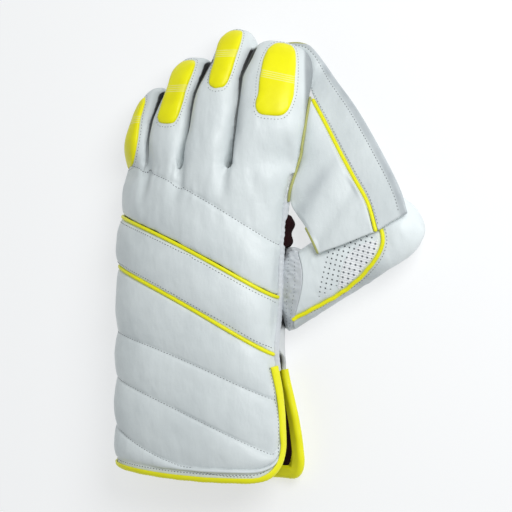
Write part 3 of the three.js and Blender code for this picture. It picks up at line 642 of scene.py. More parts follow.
def slabMesh(outer, inner):
    m, n = outer.shape[:2]
    verts = np.concatenate([outer.reshape(-1, 3), inner.reshape(-1, 3)])
    size = m * n
    i, j = np.meshgrid(np.arange(m - 1), np.arange(n - 1), indexing="ij")
    a = (i * n + j).ravel()
    top = np.stack([a, a + 1, a + n + 1, a + n], -1)
    low = np.stack([a + size, a + n + size, a + n + 1 + size, a + 1 + size], -1)
    r = np.arange(m - 1) * n
    c = np.arange(n - 1)
    left = np.stack([r, r + n, r + n + size, r + size], -1)
    right = np.stack([r + n - 1, r + n - 1 + size, r + 2 * n - 1 + size, r + 2 * n - 1], -1)
    first = np.stack([c, c + size, c + 1 + size, c + 1], -1)
    e = (m - 1) * n
    last = np.stack([c + e, c + 1 + e, c + 1 + e + size, c + e + size], -1)
    return verts, np.concatenate([top, low, left, right, first, last]).tolist()


def ringsMesh(rings, looped=False):
    m, n = rings.shape[:2]
    i, j = np.meshgrid(np.arange(m if looped else m - 1), np.arange(n), indexing="ij")
    a, b = i * n + j, i * n + (j + 1) % n
    c, d = ((i + 1) % m) * n + (j + 1) % n, ((i + 1) % m) * n + j
    faces = np.stack([a, b, c, d], -1).reshape(-1, 4).tolist()
    if not looped:
        faces.append(list(range(n))[::-1])
        faces.append(list(range((m - 1) * n, m * n)))
    return rings.reshape(-1, 3), faces


def together(parts):
    verts, faces = [], []
    for more, moreFaces in parts:
        faces += [[i + len(verts) for i in face] for face in moreFaces]
        verts += list(more)
    return np.array(verts), faces


def slabPiece(name, outer, inner, paint, slot, nodes):
    return outwardFacing(finish(name, *slabMesh(outer, inner), paint, slot, nodes))


def resample(points, count=None, spacing=None):
    points = np.asarray(points, float)
    fine = np.linspace(0, 1, 40 * len(points))
    padded = np.vstack([2 * points[0] - points[1], points, 2 * points[-1] - points[-2]])
    seg = np.clip((fine * (len(points) - 1)).astype(int), 0, len(points) - 2)
    f = (fine * (len(points) - 1) - seg)[:, None]
    p0, p1, p2, p3 = padded[seg], padded[seg + 1], padded[seg + 2], padded[seg + 3]
    bends = (2 * p0 - 5 * p1 + 4 * p2 - p3) * f ** 2
    curve = 0.5 * (2 * p1 + (p2 - p0) * f + bends + (3 * p1 - p0 - 3 * p2 + p3) * f ** 3)
    run = runLength(curve)
    count = count or max(int(run[-1] / spacing), 2)
    return readAt(np.linspace(0, run[-1], count), run, curve)


def tube(points, radius, sides=12, ripple=0.02):
    # A sewn cord with slightly uneven thickness and drawn-in ends.
    tangent = unit(np.gradient(points, axis=0))
    side = unit(np.cross(tangent, np.array([0, 0, 1.0])))
    over = np.cross(side, tangent)
    a = np.linspace(0, 2 * math.pi, sides, endpoint=False)[None, :, None]
    taper = np.ones(len(points))
    taper[0] = taper[-1] = 0.55
    r = (radius * (1 + ripple * np.sin(np.arange(len(points)) * 1.9)) * taper)[:, None, None]
    return ringsMesh(points[:, None] + r * (side[:, None] * np.cos(a) + over[:, None] * np.sin(a)))


def treeOf(piece):
    verts = [v.co.copy() for v in piece.data.vertices]
    return BVHTree.FromPolygons(verts, [tuple(p.vertices) for p in piece.data.polygons])


def onto(tree, points):
    # The nearest places on a piece's surface, with their normals.
    hits = [tree.find_nearest(Vector(p) * mm) for p in points]
    return [(np.array(hit[0]) / mm, np.array(hit[1])) for hit in hits]


class Stitches:
    # Collects short thread stitches and makes one piece of them.
    def __init__(self):
        self.verts, self.faces = [], []

    def row(self, hits, spacing=2.6, length=1.5, radius=0.3, sink=0.05):
        points = np.array([h[0] for h in hits])
        normals = unit(np.array([h[1] for h in hits]))
        run = runLength(points)
        for s in np.arange(spacing / 2, run[-1], spacing):
            at = readAt(s, run, points)
            ahead, behind = readAt(min(s + 0.6, run[-1]), run, points), readAt(max(s - 0.6, 0), run, points)
            along = unit(ahead - behind)
            normal = unit(readAt(s, run, normals))
            side = unit(np.cross(normal, along))
            start = len(self.verts)
            for shift, scale in ((-0.5, 0.35), (-0.3, 1), (0.3, 1), (0.5, 0.35)):
                for k in range(6):
                    a = math.pi * k / 3
                    lift = math.sin(a) * radius * scale - sink - (0.12 if abs(shift) > 0.4 else 0)
                    wide = side * math.cos(a) * radius * scale
                    self.verts.append(at + along * shift * length + wide + normal * lift)
            for r in range(3):
                for k in range(6):
                    a, b = start + r * 6 + k, start + r * 6 + (k + 1) % 6
                    self.faces.append([a, b, b + 6, a + 6])
            self.faces.append([start + k for k in range(6)][::-1])
            self.faces.append([start + 18 + k for k in range(6)])


# Back panels: cuff, band and the sheet under the knuckles, with quilted rolls between the seams.
panel = {"columns": 170, "wall": 3.0, "piping": 1.5}
bindingFlange = 2.8
bindingOuter = 1.5 + 0.6 + 1.1
edgeMargin = bindingFlange + 1.5


def cuffLine(xi, v):
    return cuffEdge(v, backCorner) + bindingOuter


def backGrid(lines, rows, roll, flatFirst=False):
    v = np.linspace(0, 1, panel["columns"])[None, :]
    angles, ys, lofts = [], [], []
    for band in range(len(lines) - 1):
        for share in np.linspace(0, 1, rows[band], endpoint=band == len(lines) - 2):
            y = np.full_like(v, slitTop)
            for _ in range(8):
                angle = backStart + (backEnd(y) - backStart) * v
                xi = across(angle)
                y = lines[band](xi, v) + (lines[band + 1](xi, v) - lines[band](xi, v)) * share
            fade = step(v, 0, 0.06) * (1 - step(v, 0.9, 0.985))
            flat = flatFirst and band == 0
            loft = 0 * v if flat else roll[band] * math.sin(math.pi * share) ** 0.55 * fade
            angles.append(angle[0])
            ys.append(y[0])
            lofts.append(loft[0])
    angle, y, loft = np.array(angles), np.array(ys), np.array(lofts)
    base = handPoint(angle, y, 0 * y)
    edge = np.exp(-loft * 1.1)
    pucker = ripples(base * np.array([1, 0.25, 1]), 0.16, 3) * 0.9 * edge * (loft > 0.02)
    raised = np.minimum(loft, 1)
    swells, folds = ripples(base, 0.035, 5) * 1.1 * raised, ripples(base, 0.11, 8) * 0.35 * raised
    loft = loft + pucker + swells + folds
    dip = furrow(base[..., 0], y)
    return handPoint(angle, y, dip - loft), handPoint(angle, y, dip + panel["wall"])


def seam(name, shift=0.0, over=0.0):
    def line(xi, v):
        y = seamY(name, xi) + shift
        return np.maximum(y, cuffLine(xi, v) + edgeMargin + over) if over else y
    return line


def margin(xi, v):
    return cuffLine(xi, v) + edgeMargin


cuffLines = [cuffLine, margin, seam("third", 0, 3), seam("second", 0, 9), seam("first", 0, 16),
             seam("lower", -panel["piping"])]
cuffOuter, cuffInner = backGrid(cuffLines, [6, 14, 26, 26, 30], [0, 2.2, 3.0, 3.0, 3.2], flatFirst=True)
cuffPanel = slabPiece("quilted_cuff", cuffOuter, cuffInner, whiteLeather, "light_leather", ["cuff_panel"])
bandSheet = backGrid([seam("lower", panel["piping"]), seam("upper", -panel["piping"])], [44], [3.4])
bandPanel = slabPiece("padded_band", *bandSheet, whiteLeather, "light_leather", ["band_panel"])
print("back panels made")

# Knuckles and fingers: one skin, joined from the padded sheet and four hollow stalls.
skin = {"voxel": 1.17, "wall": 2.4, "gap": 0.2, "sides": 64}


def underRoots(name, space):
    return lambda xi, v: np.minimum(seamY(name, xi), root - space)


def rootLine(xi, v):
    return root + 0 * xi


knuckleLines = [seam("upper", panel["piping"]), underRoots("knuckle", 3), rootLine]
parts = [slabMesh(*backGrid(knuckleLines, [30, 26], [3.0, 1.2]))]
for finger in fingers:
    closing = fingerClosing(finger)
    q = np.sin(np.linspace(0, 1, 22) * math.pi / 2) * 0.996
    straight = np.linspace(-6 / finger["length"], closing, 38, endpoint=False)
    shares = np.concatenate([straight, closing + (1 - closing) * q])[:, None]
    angles = np.linspace(0, 360, skin["sides"], endpoint=False)[None, :]
    tuck = np.where(shares < 0, 1, 0) * (1 - step(np.sin(np.radians(angles)), -0.3, 0.5)) * 2.0
    outside = fingerPoint(finger, shares, angles, tuck, skin["gap"])
    inside = fingerPoint(finger, shares, angles, tuck + skin["wall"], skin["gap"])
    parts.append(ringsMesh(np.concatenate([inside[::-1], outside])))
verts, faces = together(parts)
mesh = bpy.data.meshes.new("skinSource")
mesh.from_pydata((verts * mm).tolist(), [], faces)
source = bpy.data.objects.new("skinSource", mesh)
bpy.context.collection.objects.link(source)
outwardFacing(source)
remesh = source.modifiers.new("join", "REMESH")
remesh.mode = "VOXEL"
remesh.voxel_size = skin["voxel"] * mm
bpy.context.view_layer.update()
joined = bpy.data.meshes.new_from_object(source.evaluated_get(bpy.context.evaluated_depsgraph_get()))
bpy.data.objects.remove(source)
co = np.empty(len(joined.vertices) * 3)
joined.vertices.foreach_get("co", co)
co = co.reshape(-1, 3) / mm
edges = np.empty(len(joined.edges) * 2, int)
joined.edges.foreach_get("vertices", edges)
edges = edges.reshape(-1, 2)
count = np.bincount(edges.ravel(), minlength=len(co))[:, None]
near = bell(co[:, 1] - root - 1, 9)[:, None]
for lap in range(26):
    total = np.zeros_like(co)
    for k in range(3):
        one = np.bincount(edges[:, 0], co[edges[:, 1], k], len(co))
        total[:, k] = one + np.bincount(edges[:, 1], co[edges[:, 0], k], len(co))
    weight = 0.5 if lap < 4 else 0.5 * near
    co += weight * (total / count - co)
faces = [tuple(p.vertices) for p in joined.polygons]
bpy.data.meshes.remove(joined)


def sideShare(points):
    share = (points[:, 1] - cuffY) / hand["length"]
    return (points[:, 0] / hand["width"] - section("centre", share)) / section("half", share)


xi = np.clip(sideShare(co), -1.05, 1.05)
offLine = co[:, 1] - np.minimum(seamY("knuckle", xi), root + 6)
top = co[:, 2] > hand["height"] * 0.3
pulls = 0.6 * ripples(co * np.array([1, 0.2, 1]), 0.2, 2)
groove = bell(offLine, 1.6) * 0.6 + bell(offLine, 7) * pulls
fold = ripples(co, 0.045, 4) * 0.7 + ripples(co * np.array([1.6, 0.6, 1]), 0.1, 6) * 0.4
mesh = bpy.data.meshes.new("tmp")
mesh.from_pydata(co.tolist(), [], faces)
normals = np.empty(len(co) * 3)
mesh.vertices.foreach_get("normal", normals)
normals = normals.reshape(-1, 3)
bpy.data.meshes.remove(mesh)
# Painted shade, kept as vertex values for the finger paint: slitTone and slitOff place a dark band along
# each slit, and flank is soft shade on the thumb side of each slit and on the index finger's flank beside
# the web.
slitOff = np.full(len(co), 99.0)
slitEdge = np.full(len(co), 9.0)
slitTone = np.zeros(len(co))
flank = 0.75 * step(seenAcross(co), 34.8, 37.6) * step(co[:, 1], 118, 165)
for i, slit in enumerate(slits):
    off, tilt = parting(co, i)
    off = off - asideOf(i, co[:, 1]) * math.cos(tilt)
    left, right = np.interp(co[:, 1], *slit["left"]), np.interp(co[:, 1], *slit["right"])
    nearer = np.abs(off) < np.abs(slitOff)
    below = slit["top"] - co[:, 1]
    slitOff = np.where(nearer, off, slitOff)
    inSlit = (2 * off - left - right) / (right - left)
    slitEdge = np.where(nearer, inSlit * (-1) ** i, slitEdge)
    fading = (0, 1, 0.95, 0.7, 0.4) if i == 2 else (0, 1, 0.95, 0.42, 0.22)
    tone = np.interp(below, (-1.5, 0, 14, 40, 90), fading) * step(co[:, 1], 112, 128)
    deep = np.where(right - left > 7, 0.45 + 0.55 * step(np.abs(inSlit), 0.35, 0.6), 1)
    slitTone = np.where(nearer, tone * deep, slitTone)
    reach, dark = flanks[i]
    shade = bell(off, reach) * (off > 0) * dark * step(below, -4, 8) * step(co[:, 1], 118, 140)
    flank = np.maximum(flank, shade)
crease = bell(slitOff, 1.5) * slitTone
nearRoot = bell(co[:, 1] - root, 9) * bell(slitOff, 7)
fold = fold + nearRoot * ripples(co * np.array([1, 0.5, 1]), 0.3, 10) * 1.3
co = co + normals * (fold - crease - np.where(top, groove, 0))[:, None]
knuckleSkin = finish("knuckles_and_fingers", co, faces, fingerLeather, "light_leather",
                     ["knuckle_panel"] + ["finger_" + f["name"] for f in fingers])
for name, values in (("slitOff", np.clip(slitEdge, -9, 9)), ("slitTone", slitTone), ("flank", flank)):
    vertexValues(knuckleSkin, name, values)
print("knuckle skin made", len(faces))

# Palm
palmV = np.linspace(0, 1, 130)[None, :]
palmU = np.linspace(0, 1, 170)[:, None]
palmEdge = cuffEdge(palmV ** 1.1, palmCorner) + bindingOuter
palmY = palmEdge + (root - 0.2 - palmEdge) * palmU
palmAngle = palmStart + (palmEnd(palmY) - palmStart) * palmV
palmOuter, palmInner = (handPoint(palmAngle, palmY, 0 * palmY + inset) for inset in (0, panel["wall"]))
slabPiece("palm_sheet", palmOuter, palmInner, palmLeather, "light_leather", ["palm_panel"])
print("palm made")


# Lining
def liningGrid(inset):
    v = np.linspace(0, 1, 90)[None, :]
    u = np.linspace(0, 1, 60)[:, None]
    split = 0.45
    palmShare = np.clip(1 - v / split, 0, 1)
    backShare = np.clip((v - split) / (1 - split), 0, 1)
    edge = np.where(v < split, cuffEdge(palmShare, palmCorner), cuffEdge(backShare, backCorner))
    edge = edge + bindingOuter + 4.6
    y = edge + (root - 52 - edge) * u
    onPalm = palmStart + (palmEnd(y) + 8 - palmStart) * palmShare
    onBack = palmStart + (backEnd(y) - 8 - palmStart) * backShare
    return handPoint(np.where(v < split, onPalm, onBack), y, inset + 0 * y)


def crotchShadeFold(inset):
    # Painted shade: a dark fold of lining laid between the hand and the web, where the crotch lies in deep
    # shade.
    angle = 172 + 30 * np.linspace(0, 1, 14)[None, :]
    t = np.linspace(0, 1, 24)[:, None]
    swell = np.sin(math.pi * t) ** 0.25 * np.sin(math.pi * (angle - 172) / 30) ** 0.5
    return handPoint(angle, 60 + 25 * t, inset - (5.2 + 1.2 * np.sin(t * 11)) * swell)


sheets = [slabMesh(liningGrid(4.4), liningGrid(5.4)), slabMesh(crotchShadeFold(0.2), crotchShadeFold(0.9))]
lining = outwardFacing(finish("inner_lining", *together(sheets), darkLining, "dark_lining", ["lining"]))


# Pipings across the back
def backRow(name, shift, count=90, start=1.5, end=-0.6, inset=0.0):
    t = np.linspace(0, 1, count)
    y = np.full_like(t, slitTop)
    for _ in range(8):
        angle = backStart + start + (backEnd(y) + end - backStart - start) * t
        y = seamY(name, across(angle)) + shift
    return handPoint(angle, y, inset + 0 * t)


for name, label in (("upper", "upper_cord"), ("lower", "lower_cord")):
    strand = tube(backRow(name, 0, 140, inset=-0.1), 1.4)
    finish(label, *strand, yellow, "yellow_trim", [name + "_piping"])


# Bindings round the cuff's two edges. above and below are how far one covers the outer and the inner side of
# its panel, at the corner and up the slit. lower is how much more it bulges inside.
binding = {"outside": 3.15, "inside": 1.9, "spacing": 1.1}


def bindingMesh(outer, inner, stop, above, below, lower=0):
    middle = (outer + inner) / 2
    rows = [i for i in range(middle.shape[0] - 1, 0, -1) if middle[i, -1, 1] < stop]
    path = [(i, middle.shape[1] - 1) for i in rows] + [(0, j) for j in range(middle.shape[1] - 1, -1, -1)]
    at = np.array([middle[i, j] for i, j in path])
    turns = len(rows)
    normal = np.array([unit(outer[i, j] - inner[i, j]) for i, j in path])
    run = runLength(at)
    even = np.linspace(0, run[-1], int(run[-1] / binding["spacing"]))
    at, normal = readAt(even, run, at), readAt(even, run, normal)
    ahead = unit(np.gradient(at, axis=0))
    ahead = np.array([unit(ahead[max(0, k - 3):k + 4].mean(0)) for k in range(len(ahead))])
    normal = unit(normal - ahead * np.sum(normal * ahead, -1, keepdims=True))
    out = np.cross(ahead, normal)
    out *= -np.sign(out[len(out) // 2:, 1].sum())
    wobble = (0.12 * np.sin(even * 2.1) + 0.1 * np.sin(even * 0.37 + 1))[:, None]
    over = np.interp(even, (run[turns] - 10, run[turns] + 34), above)[:, None]
    under = np.interp(even, (run[turns] - 18, run[turns] + 22), below)[:, None]

    def profile(radius, rough):
        rows = []
        for reach in (1, 0.5):
            rows.append(at - out * over * reach + normal * (radius + rough * wobble * 0.6))
        for k in range(11):
            phi = math.pi * (0.5 - k / 10)
            aside = out * (radius + rough * wobble) * math.cos(phi)
            rows.append(at + aside + normal * radius * math.sin(phi))
        for reach in (0.5, 1):
            rows.append(at - out * under * reach - normal * (radius + lower * reach + rough * wobble * 0.6))
        return np.array(rows).transpose(1, 0, 2)
    sewn = at + normal * 1.5 - out * (over + 1.4)
    return profile(binding["outside"], 1), profile(binding["inside"], 0), sewn


backWrap, backWrapIn, backRowAt = bindingMesh(cuffOuter, cuffInner, slitTop - 0.5, (6.2, 1.0), (4.2, 4.2))
slabPiece("cuff_binding", backWrap, backWrapIn, yellow, "yellow_trim", ["back_binding"])
palmWrap, palmWrapIn, _ = bindingMesh(palmOuter, palmInner, slitTop - 4.5, (2.8, 2.8), (9, 7), 1.3)
slabPiece("palm_edge_binding", palmWrap, palmWrapIn, yellow, "yellow_trim", ["palm_binding"])
print("bindings made")

# Fingertip pads
skinTree = treeOf(knuckleSkin)
# Each pad's rows are a share of the finger's length and the angles of its two sides. round is how square its
# outline is, slant tips its ends, bands is where its pale bands lie and tip how they turn.
padLook = {
    "little": {"rows": [(0.03, 152, 66), (0.2, 143, 56), (0.32, 135, 57), (0.45, 128, 66), (0.6, 123, 78),
                        (0.81, 128, 86)], "round": 3.2, "slant": 0.02, "bands": 0.55, "tip": -0.06},
    "ring": {"rows": [(0.37, 108, 50), (0.5, 109, 50), (0.6, 111, 51), (0.7, 116, 59), (0.79, 137, 63),
                      (0.86, 139, 66), (0.92, 130, 70)],
             "round": 3.6, "slant": 0.018, "bands": 0.665, "tip": 0},
    "middle": {"rows": [(0.54, 97, 50), (0.62, 101.5, 49), (0.71, 108, 57), (0.8, 118, 61), (0.87, 135, 65),
                        (0.945, 135, 70)], "round": 3.6, "slant": 0.025, "bands": 0.77, "tip": 0},
    "index": {"rows": [(0.385, 118, 60), (0.48, 116, 61), (0.55, 109, 61), (0.72, 109, 65), (0.85, 115, 69),
                       (0.955, 117, 72)], "round": 2.9, "slant": 0.025, "bands": 0.69, "tip": 0.23},
}
padBands = {"pitch": 1.55, "half": 4.6, "shown": 0.75}


def smoothRow(share, at, values):
    # A table read along the finger, rounded at its corners.
    total = 0
    for shift in (-0.03, -0.015, 0, 0.015, 0.03):
        total = total + np.interp(share + shift, at, values)
    return total / 5


def padPaint(finger, look):
    at = fingerPoint(finger, look["bands"], 90)
    way = unit(np.array([look["tip"], 1, 0]))

    def bands(paint):
        t = (paint.along(*way) - float(at @ way) * mm) * 1000
        stripe = (t / padBands["pitch"] * math.pi * 2).wave().ramp(0.1, 0.75)
        inside = t.size().ramp(padBands["half"] * 0.62, padBands["half"] * 0.72, 1, 0)
        return stripe * inside * padBands["shown"]
    return trimPaint("pad_" + finger["name"], (245, 241, 14), (228, 218, 4), bands)


rims = Stitches()
for finger in fingers:
    look = padLook[finger["name"]]
    m, n = 40, 34
    u = np.linspace(-1, 1, m)[:, None] + np.zeros((m, n))
    v = np.linspace(-1, 1, n)[None, :] + np.zeros((m, n))
    edge, turn = np.maximum(np.abs(u), np.abs(v)), np.arctan2(u, v)
    power = look["round"]
    reach = edge / (np.abs(np.cos(turn)) ** power + np.abs(np.sin(turn)) ** power) ** (1 / power)
    at, left, right = np.array(look["rows"]).T
    share = at[0] + (at[-1] - at[0]) * (reach * np.sin(turn) + 1) / 2
    rowLeft, rowRight = smoothRow(share, at, left), smoothRow(share, at, right)
    angle = (rowLeft + rowRight) / 2 - (rowLeft - rowRight) / 2 * reach * np.cos(turn)
    share = share + look["slant"] * reach * np.cos(turn)
    base = fingerPoint(finger, share, angle, 0, skin["gap"])
    dome = 0.35 + 2.3 * (1 - edge ** 5) ** 0.6
    hits = onto(skinTree, base.reshape(-1, 3))
    spot, normal = (np.array([hit[k] for hit in hits]).reshape(m, n, 3) for k in (0, 1))
    for grid in (spot, normal):
        for _ in range(10):
            beside = grid[:-2, 1:-1] + grid[2:, 1:-1] + grid[1:-1, :-2] + grid[1:-1, 2:]
            grid[1:-1, 1:-1] = (beside + grid[1:-1, 1:-1]) / 5
    normal = unit(normal)
    pad = slabPiece("fingertip_" + finger["name"], spot + normal * dome[..., None], spot + normal * 0.02,
                    padPaint(finger, look), "yellow_trim", ["tip_pad_" + finger["name"]])
    ring = np.concatenate([spot[0, :], spot[:, -1], spot[-1, ::-1], spot[::-1, 0]])
    centre = spot.reshape(-1, 3).mean(0)
    away = ring + unit(ring - centre) * 2.6
    rims.row(onto(skinTree, resample(away[::4], spacing=1.2)), 2.5, 1.3, 0.24)
print("pads made")

# Seam stitches over the back
backTree = {"cuff": treeOf(cuffPanel), "band": treeOf(bandPanel), "knuckle": skinTree}
seamStitches = Stitches()
for where, name, shift, start, end in (
    ("cuff", "first", 0, 9, -3), ("cuff", "second", 0, 5, -4), ("cuff", "third", 0, 6, -40),
    ("band", "lower", 4.4, 6, -4), ("band", "upper", -4.4, 6, -4), ("knuckle", "knuckle", 0, 12, -2),
):
    seamStitches.row(onto(backTree[where], backRow(name, shift, 160, start, end)))
sewn = backRowAt + unit(np.array([45, 0, 10]) - backRowAt) * 0.8
seamStitches.row(onto(backTree["cuff"], sewn), 2.6, 1.5, 0.3)
print("seams stitched")

# Thumb
# The cord's line and the insert's outline over the thumb: shares of its length and of its half width.
thumbSeam = [(-0.22, -0.82), (-0.083, -0.846), (0.063, -0.887), (0.215, -0.896), (0.381, -0.837),
             (0.52, -0.696), (0.624, -0.537), (0.707, -0.279), (0.742, 0.05), (0.742, 0.3)]
insertOutline = [(0.688, -0.15), (0.667, -0.31), (0.598, -0.5), (0.495, -0.63), (0.369, -0.755),
                 (0.245, -0.81), (0.21, -0.77), (0.26, -0.58), (0.318, -0.36), (0.39, -0.12),
                 (0.47, -0.01), (0.59, -0.02)]


def onThumbPlan(rows):
    rows = np.array(rows)
    return overThumb(rows[:, 0] * thumb["length"], rows[:, 1] * thumb["wide"])


seamCurve = resample(onThumbPlan(thumbSeam), 140)


def planDistance(points, curve):
    a, b = curve[:-1, :2], curve[1:, :2]
    p = points.reshape(-1, 1, 3)[..., :2]
    way = b - a
    t = np.clip(np.sum((p - a) * way, -1) / np.sum(way * way, -1), 0, 1)
    off = p - (a + way * t[..., None])
    distance = np.linalg.norm(off, axis=-1)
    k = distance.argmin(1)
    rowsAt = np.arange(len(k))
    side = way[k, 0] * off[rowsAt, k, 1] - way[k, 1] * off[rowsAt, k, 0]
    return (distance[rowsAt, k] * -np.sign(side)).reshape(points.shape[:-1])


stall = {"straight": 70, "tip": 50, "sides": 150, "wall": 2.4}
tipShares = np.sin(np.linspace(0, 1, stall["tip"]) * math.pi / 2) * 0.997
shares = np.concatenate([np.linspace(0, thumbClosing, stall["straight"], endpoint=False),
                         thumbClosing + (1 - thumbClosing) * tipShares])[:, None]
angles = np.linspace(0, 360, stall["sides"], endpoint=False)[None, :]
outside = thumbPoint(shares, angles, 0)
inside = thumbPoint(shares, angles, stall["wall"])
offSeam = planDistance(outside, seamCurve)
top = step(np.sin(np.radians(angles)) + 0 * shares, -0.15, 0.2)
sunk = 0.6 * np.exp(-np.maximum(-offSeam, 0) / 3) * (offSeam < 0)
puff = 1.4 * (1 - np.exp(-np.maximum(offSeam, 0) / 4)) - sunk
groove = -1.3 * bell(offSeam, 1.7)
wrinkle = ripples(outside, 0.06, 7) * 0.8 + ripples(outside * np.array([1.4, 0.8, 1]), 0.15, 9) * 0.35
ahead = np.roll(outside, -1, 1) - np.roll(outside, 1, 1)
along = np.gradient(outside, axis=0)
normal = unit(np.cross(along, ahead))
centre = outside.mean(1, keepdims=True)
normal *= np.sign(np.sum(normal * (outside - centre), -1, keepdims=True))
lift = (puff + groove) * top + wrinkle * step(shares, 0, 0.12)
lift = lift * (1 - step(shares, 0.96, 0.999))
outside = outside + normal * lift[..., None]
outside[..., 2] = np.maximum(outside[..., 2], 0.25)
skinRings = np.concatenate([inside[::-1], outside])
thumbStall = outwardFacing(finish("thumb_stall", *ringsMesh(skinRings), perforatedLeather, "light_leather",
                                  ["thumb_back", "thumb_guard"]))
spot = skinRings.reshape(-1, 3) - np.array(perforation["base"] + (0,))
spotAlong = (spot[:, 0] * math.cos(thumbTurn) + spot[:, 1] * math.sin(thumbTurn)) / thumb["length"]
spotAside = (spot[:, 1] * math.cos(thumbTurn) - spot[:, 0] * math.sin(thumbTurn)) / thumb["wide"]
past = np.interp(spotAlong, *np.array(thumbSeam[:-2]).T) - spotAside
# rim holds painted shade for the thumb's underside beyond the cord.
vertexValues(thumbStall, "rim", 0.75 * step(past, 0.02, 0.3) * (1 - step(spotAlong, 0.5, 0.75)))
thumbTree = treeOf(thumbStall)

# The textile insert: rings from its outline to its middle, raised off the thumb.
insert = {"corners": 96, "rings": 40, "height": -0.3, "thick": 0.75}
outline = onThumbPlan(insertOutline)
corners = resample(np.vstack([outline, outline[:1]]), insert["corners"])[:-1]
middle = corners.mean(0)
rings = []
for k in range(insert["rings"]):
    raised = insert["height"] + insert["thick"] * min(k / 2.5, 1) ** 0.5
    ring = middle + (corners - middle) * (1 - k / insert["rings"])
    rings.append([at + normal * raised for at, normal in onto(thumbTree, ring)])
textile = outwardFacing(finish("textile_insert", *ringsMesh(np.array(rings)), whiteTextile, "white_textile",
                               ["thumb_mesh"]))
outward = np.cross(np.gradient(seamCurve, axis=0), np.array([0, 0, 1.0]))
thumbRows = Stitches()
thumbRows.row(onto(thumbTree, seamCurve[18:-6] + unit(outward[18:-6]) * 3.4), 2.6, 1.4, 0.26)
print("thumb made")

# Gathered band at the thumb's base
pleats = {"rows": 26, "columns": 240}


def gussetGrid(inset):
    u = np.linspace(0, 1, pleats["rows"])[:, None]
    v = np.linspace(0, 1, pleats["columns"], endpoint=False)[None, :]
    a = 2 * math.pi * v
    end = thumbPoint(0, 360 * v, inset) - thumbAlong * 0.45
    reach = squared(np.cos(a), 2.5) * (thumbMouth - inset + np.where(np.cos(a) < 0, 2, -7))
    y = thumbY + reach
    upper = backEnd(y) + 4 + inset * turnPerMm
    lower = 222 - inset * turnPerMm + 0 * y
    goal = np.where(a < math.pi, upper, lower)
    angle = (upper + lower) / 2 + (goal - (upper + lower) / 2) * np.abs(squared(np.sin(a), 2.5))
    start = handPoint(angle, y, -0.3 + 0 * y)
    p = start + (end - start) * u[..., None]
    gather = ripples(start * np.array([0.4, 1.6, 1.6]) + u[..., None] * 6, 0.3, 21)
    gather = gather * 1.1 * np.sin(math.pi * u) ** 0.5 + 1.3 * np.sin(math.pi * u)
    out = unit(np.stack([0 * a, np.cos(a), np.sin(a)], -1)) + 0 * p
    p = p + out * (gather * (1 if inset == 0 else 0.6))[..., None]
    p[..., 2] = np.maximum(p[..., 2], 0.3 + inset)
    return p


gussetTop = gussetGrid(0)
band = ringsMesh(np.concatenate([gussetTop, gussetGrid(1.2)[::-1]]), looped=True)
gusset = outwardFacing(finish("gathered_gusset", *band, paleLeather, "pale_leather", ["thumb_gusset"]))
gussetTree = treeOf(gusset)
for row, first, last in ((8, 18, 112), (17, 40, 108)):
    thumbRows.row(onto(gussetTree, gussetTop[row, first:last]), 2.9, 1.2, 0.24)

cord = []
for p in seamCurve[:-3]:
    hits = [tree.find_nearest(Vector(p) * mm) for tree in (thumbTree, gussetTree)]
    near = min(hits, key=lambda h: h[3])
    cord.append(np.array(near[0]) / mm + np.array(near[1]) * 0.75)
finish("thumb_cord", *tube(resample(cord[::5], 150), 1.5), yellow, "yellow_trim", ["thumb_piping"])

# Welt along the slit's side
weltLine = [handPoint(backEnd(y) + 3.4, y, 1.1) for y in np.linspace(slitTop - 6, root - 14, 110)]
strand = tube(np.array(weltLine), 2.9, 16, 0.05)
finish("side_welt_roll", *strand, paleLeather, "pale_leather", ["side_welt"])
print("gusset made")

# Web
indexFinger = fingers[-1]
webGap = 0.6


def besideIndex(share, gap):
    return fingerPoint(indexFinger, share, -8) + np.array([gap + 1.5, 0, 0])


def besideHand(back, gap):
    return handPoint(176, root - back) + np.array([gap + 1.5, 0, 0])


def ontoThumb(s, aside):
    return overThumb(s, aside, 0.3 + 3)


def bowed(a, b, share, bow):
    way = b - a
    out = np.array([way[1], -way[0], 0])
    out = out / np.linalg.norm(out)
    if out[0] < 0:
        out = -out
    return a + way * share + out * bow * 4 * share * (1 - share)


crotchEnd = ontoThumb(0.242 * thumb["length"], 0.44 * thumb["wide"])
fold = besideHand(28, webGap + 2)
panelInner = [besideIndex(0.62, webGap), besideIndex(0.3, webGap), besideIndex(0.03, webGap),
              besideHand(14, webGap), fold, fold + (crotchEnd - fold) * 0.55 + np.array([1, 2, 2]),
              crotchEnd]
seamHigh = besideIndex(0.64, webGap + 1)
seamLow = ontoThumb(0.682 * thumb["length"], 0.14 * thumb["wide"])
webSeam = [bowed(seamHigh, seamLow, t, 2.5) for t in (0, 0.2, 0.4, 0.6, 0.8, 1)]
seamBulge = ((76, 95, 107, 118, 140), (3.5, 5.5, 3.4, 1, 0))
webSeam = [p + np.array([np.interp(p[1], *seamBulge), 0, 0]) for p in webSeam]
tip = fingerMiddle(indexFinger, 1.0)[0]
bandInnerLine = [tip + np.array([-4, -3, 0]), tip + np.array([9, -5, 0]), besideIndex(0.88, -4),
                 besideIndex(0.76, -3)] + webSeam
edgeHigh = besideIndex(0.97, 10)
edgeLow = ontoThumb(0.968 * thumb["length"], 0.1 * thumb["wide"])
edgeLow[2] = ontoThumb(0.788 * thumb["length"], 0)[2]
topEdge = [tip + np.array([-4, 3.2, 3]), tip + np.array([8, 3.2, 4]), tip + np.array([18, 0.5, 3])]
webEdge = topEdge + [bowed(edgeHigh, edgeLow, t, 4.2) for t in (0.03, 0.15, 0.35, 0.6, 0.85, 1)]
edgeBulge = ((86, 112, 143, 160, 190, 202), (2.2, 5, 2.4, 2.4, -0.6, 0))
webEdge = [p + np.array([np.interp(p[1], *edgeBulge), 0, 0]) for p in webEdge]


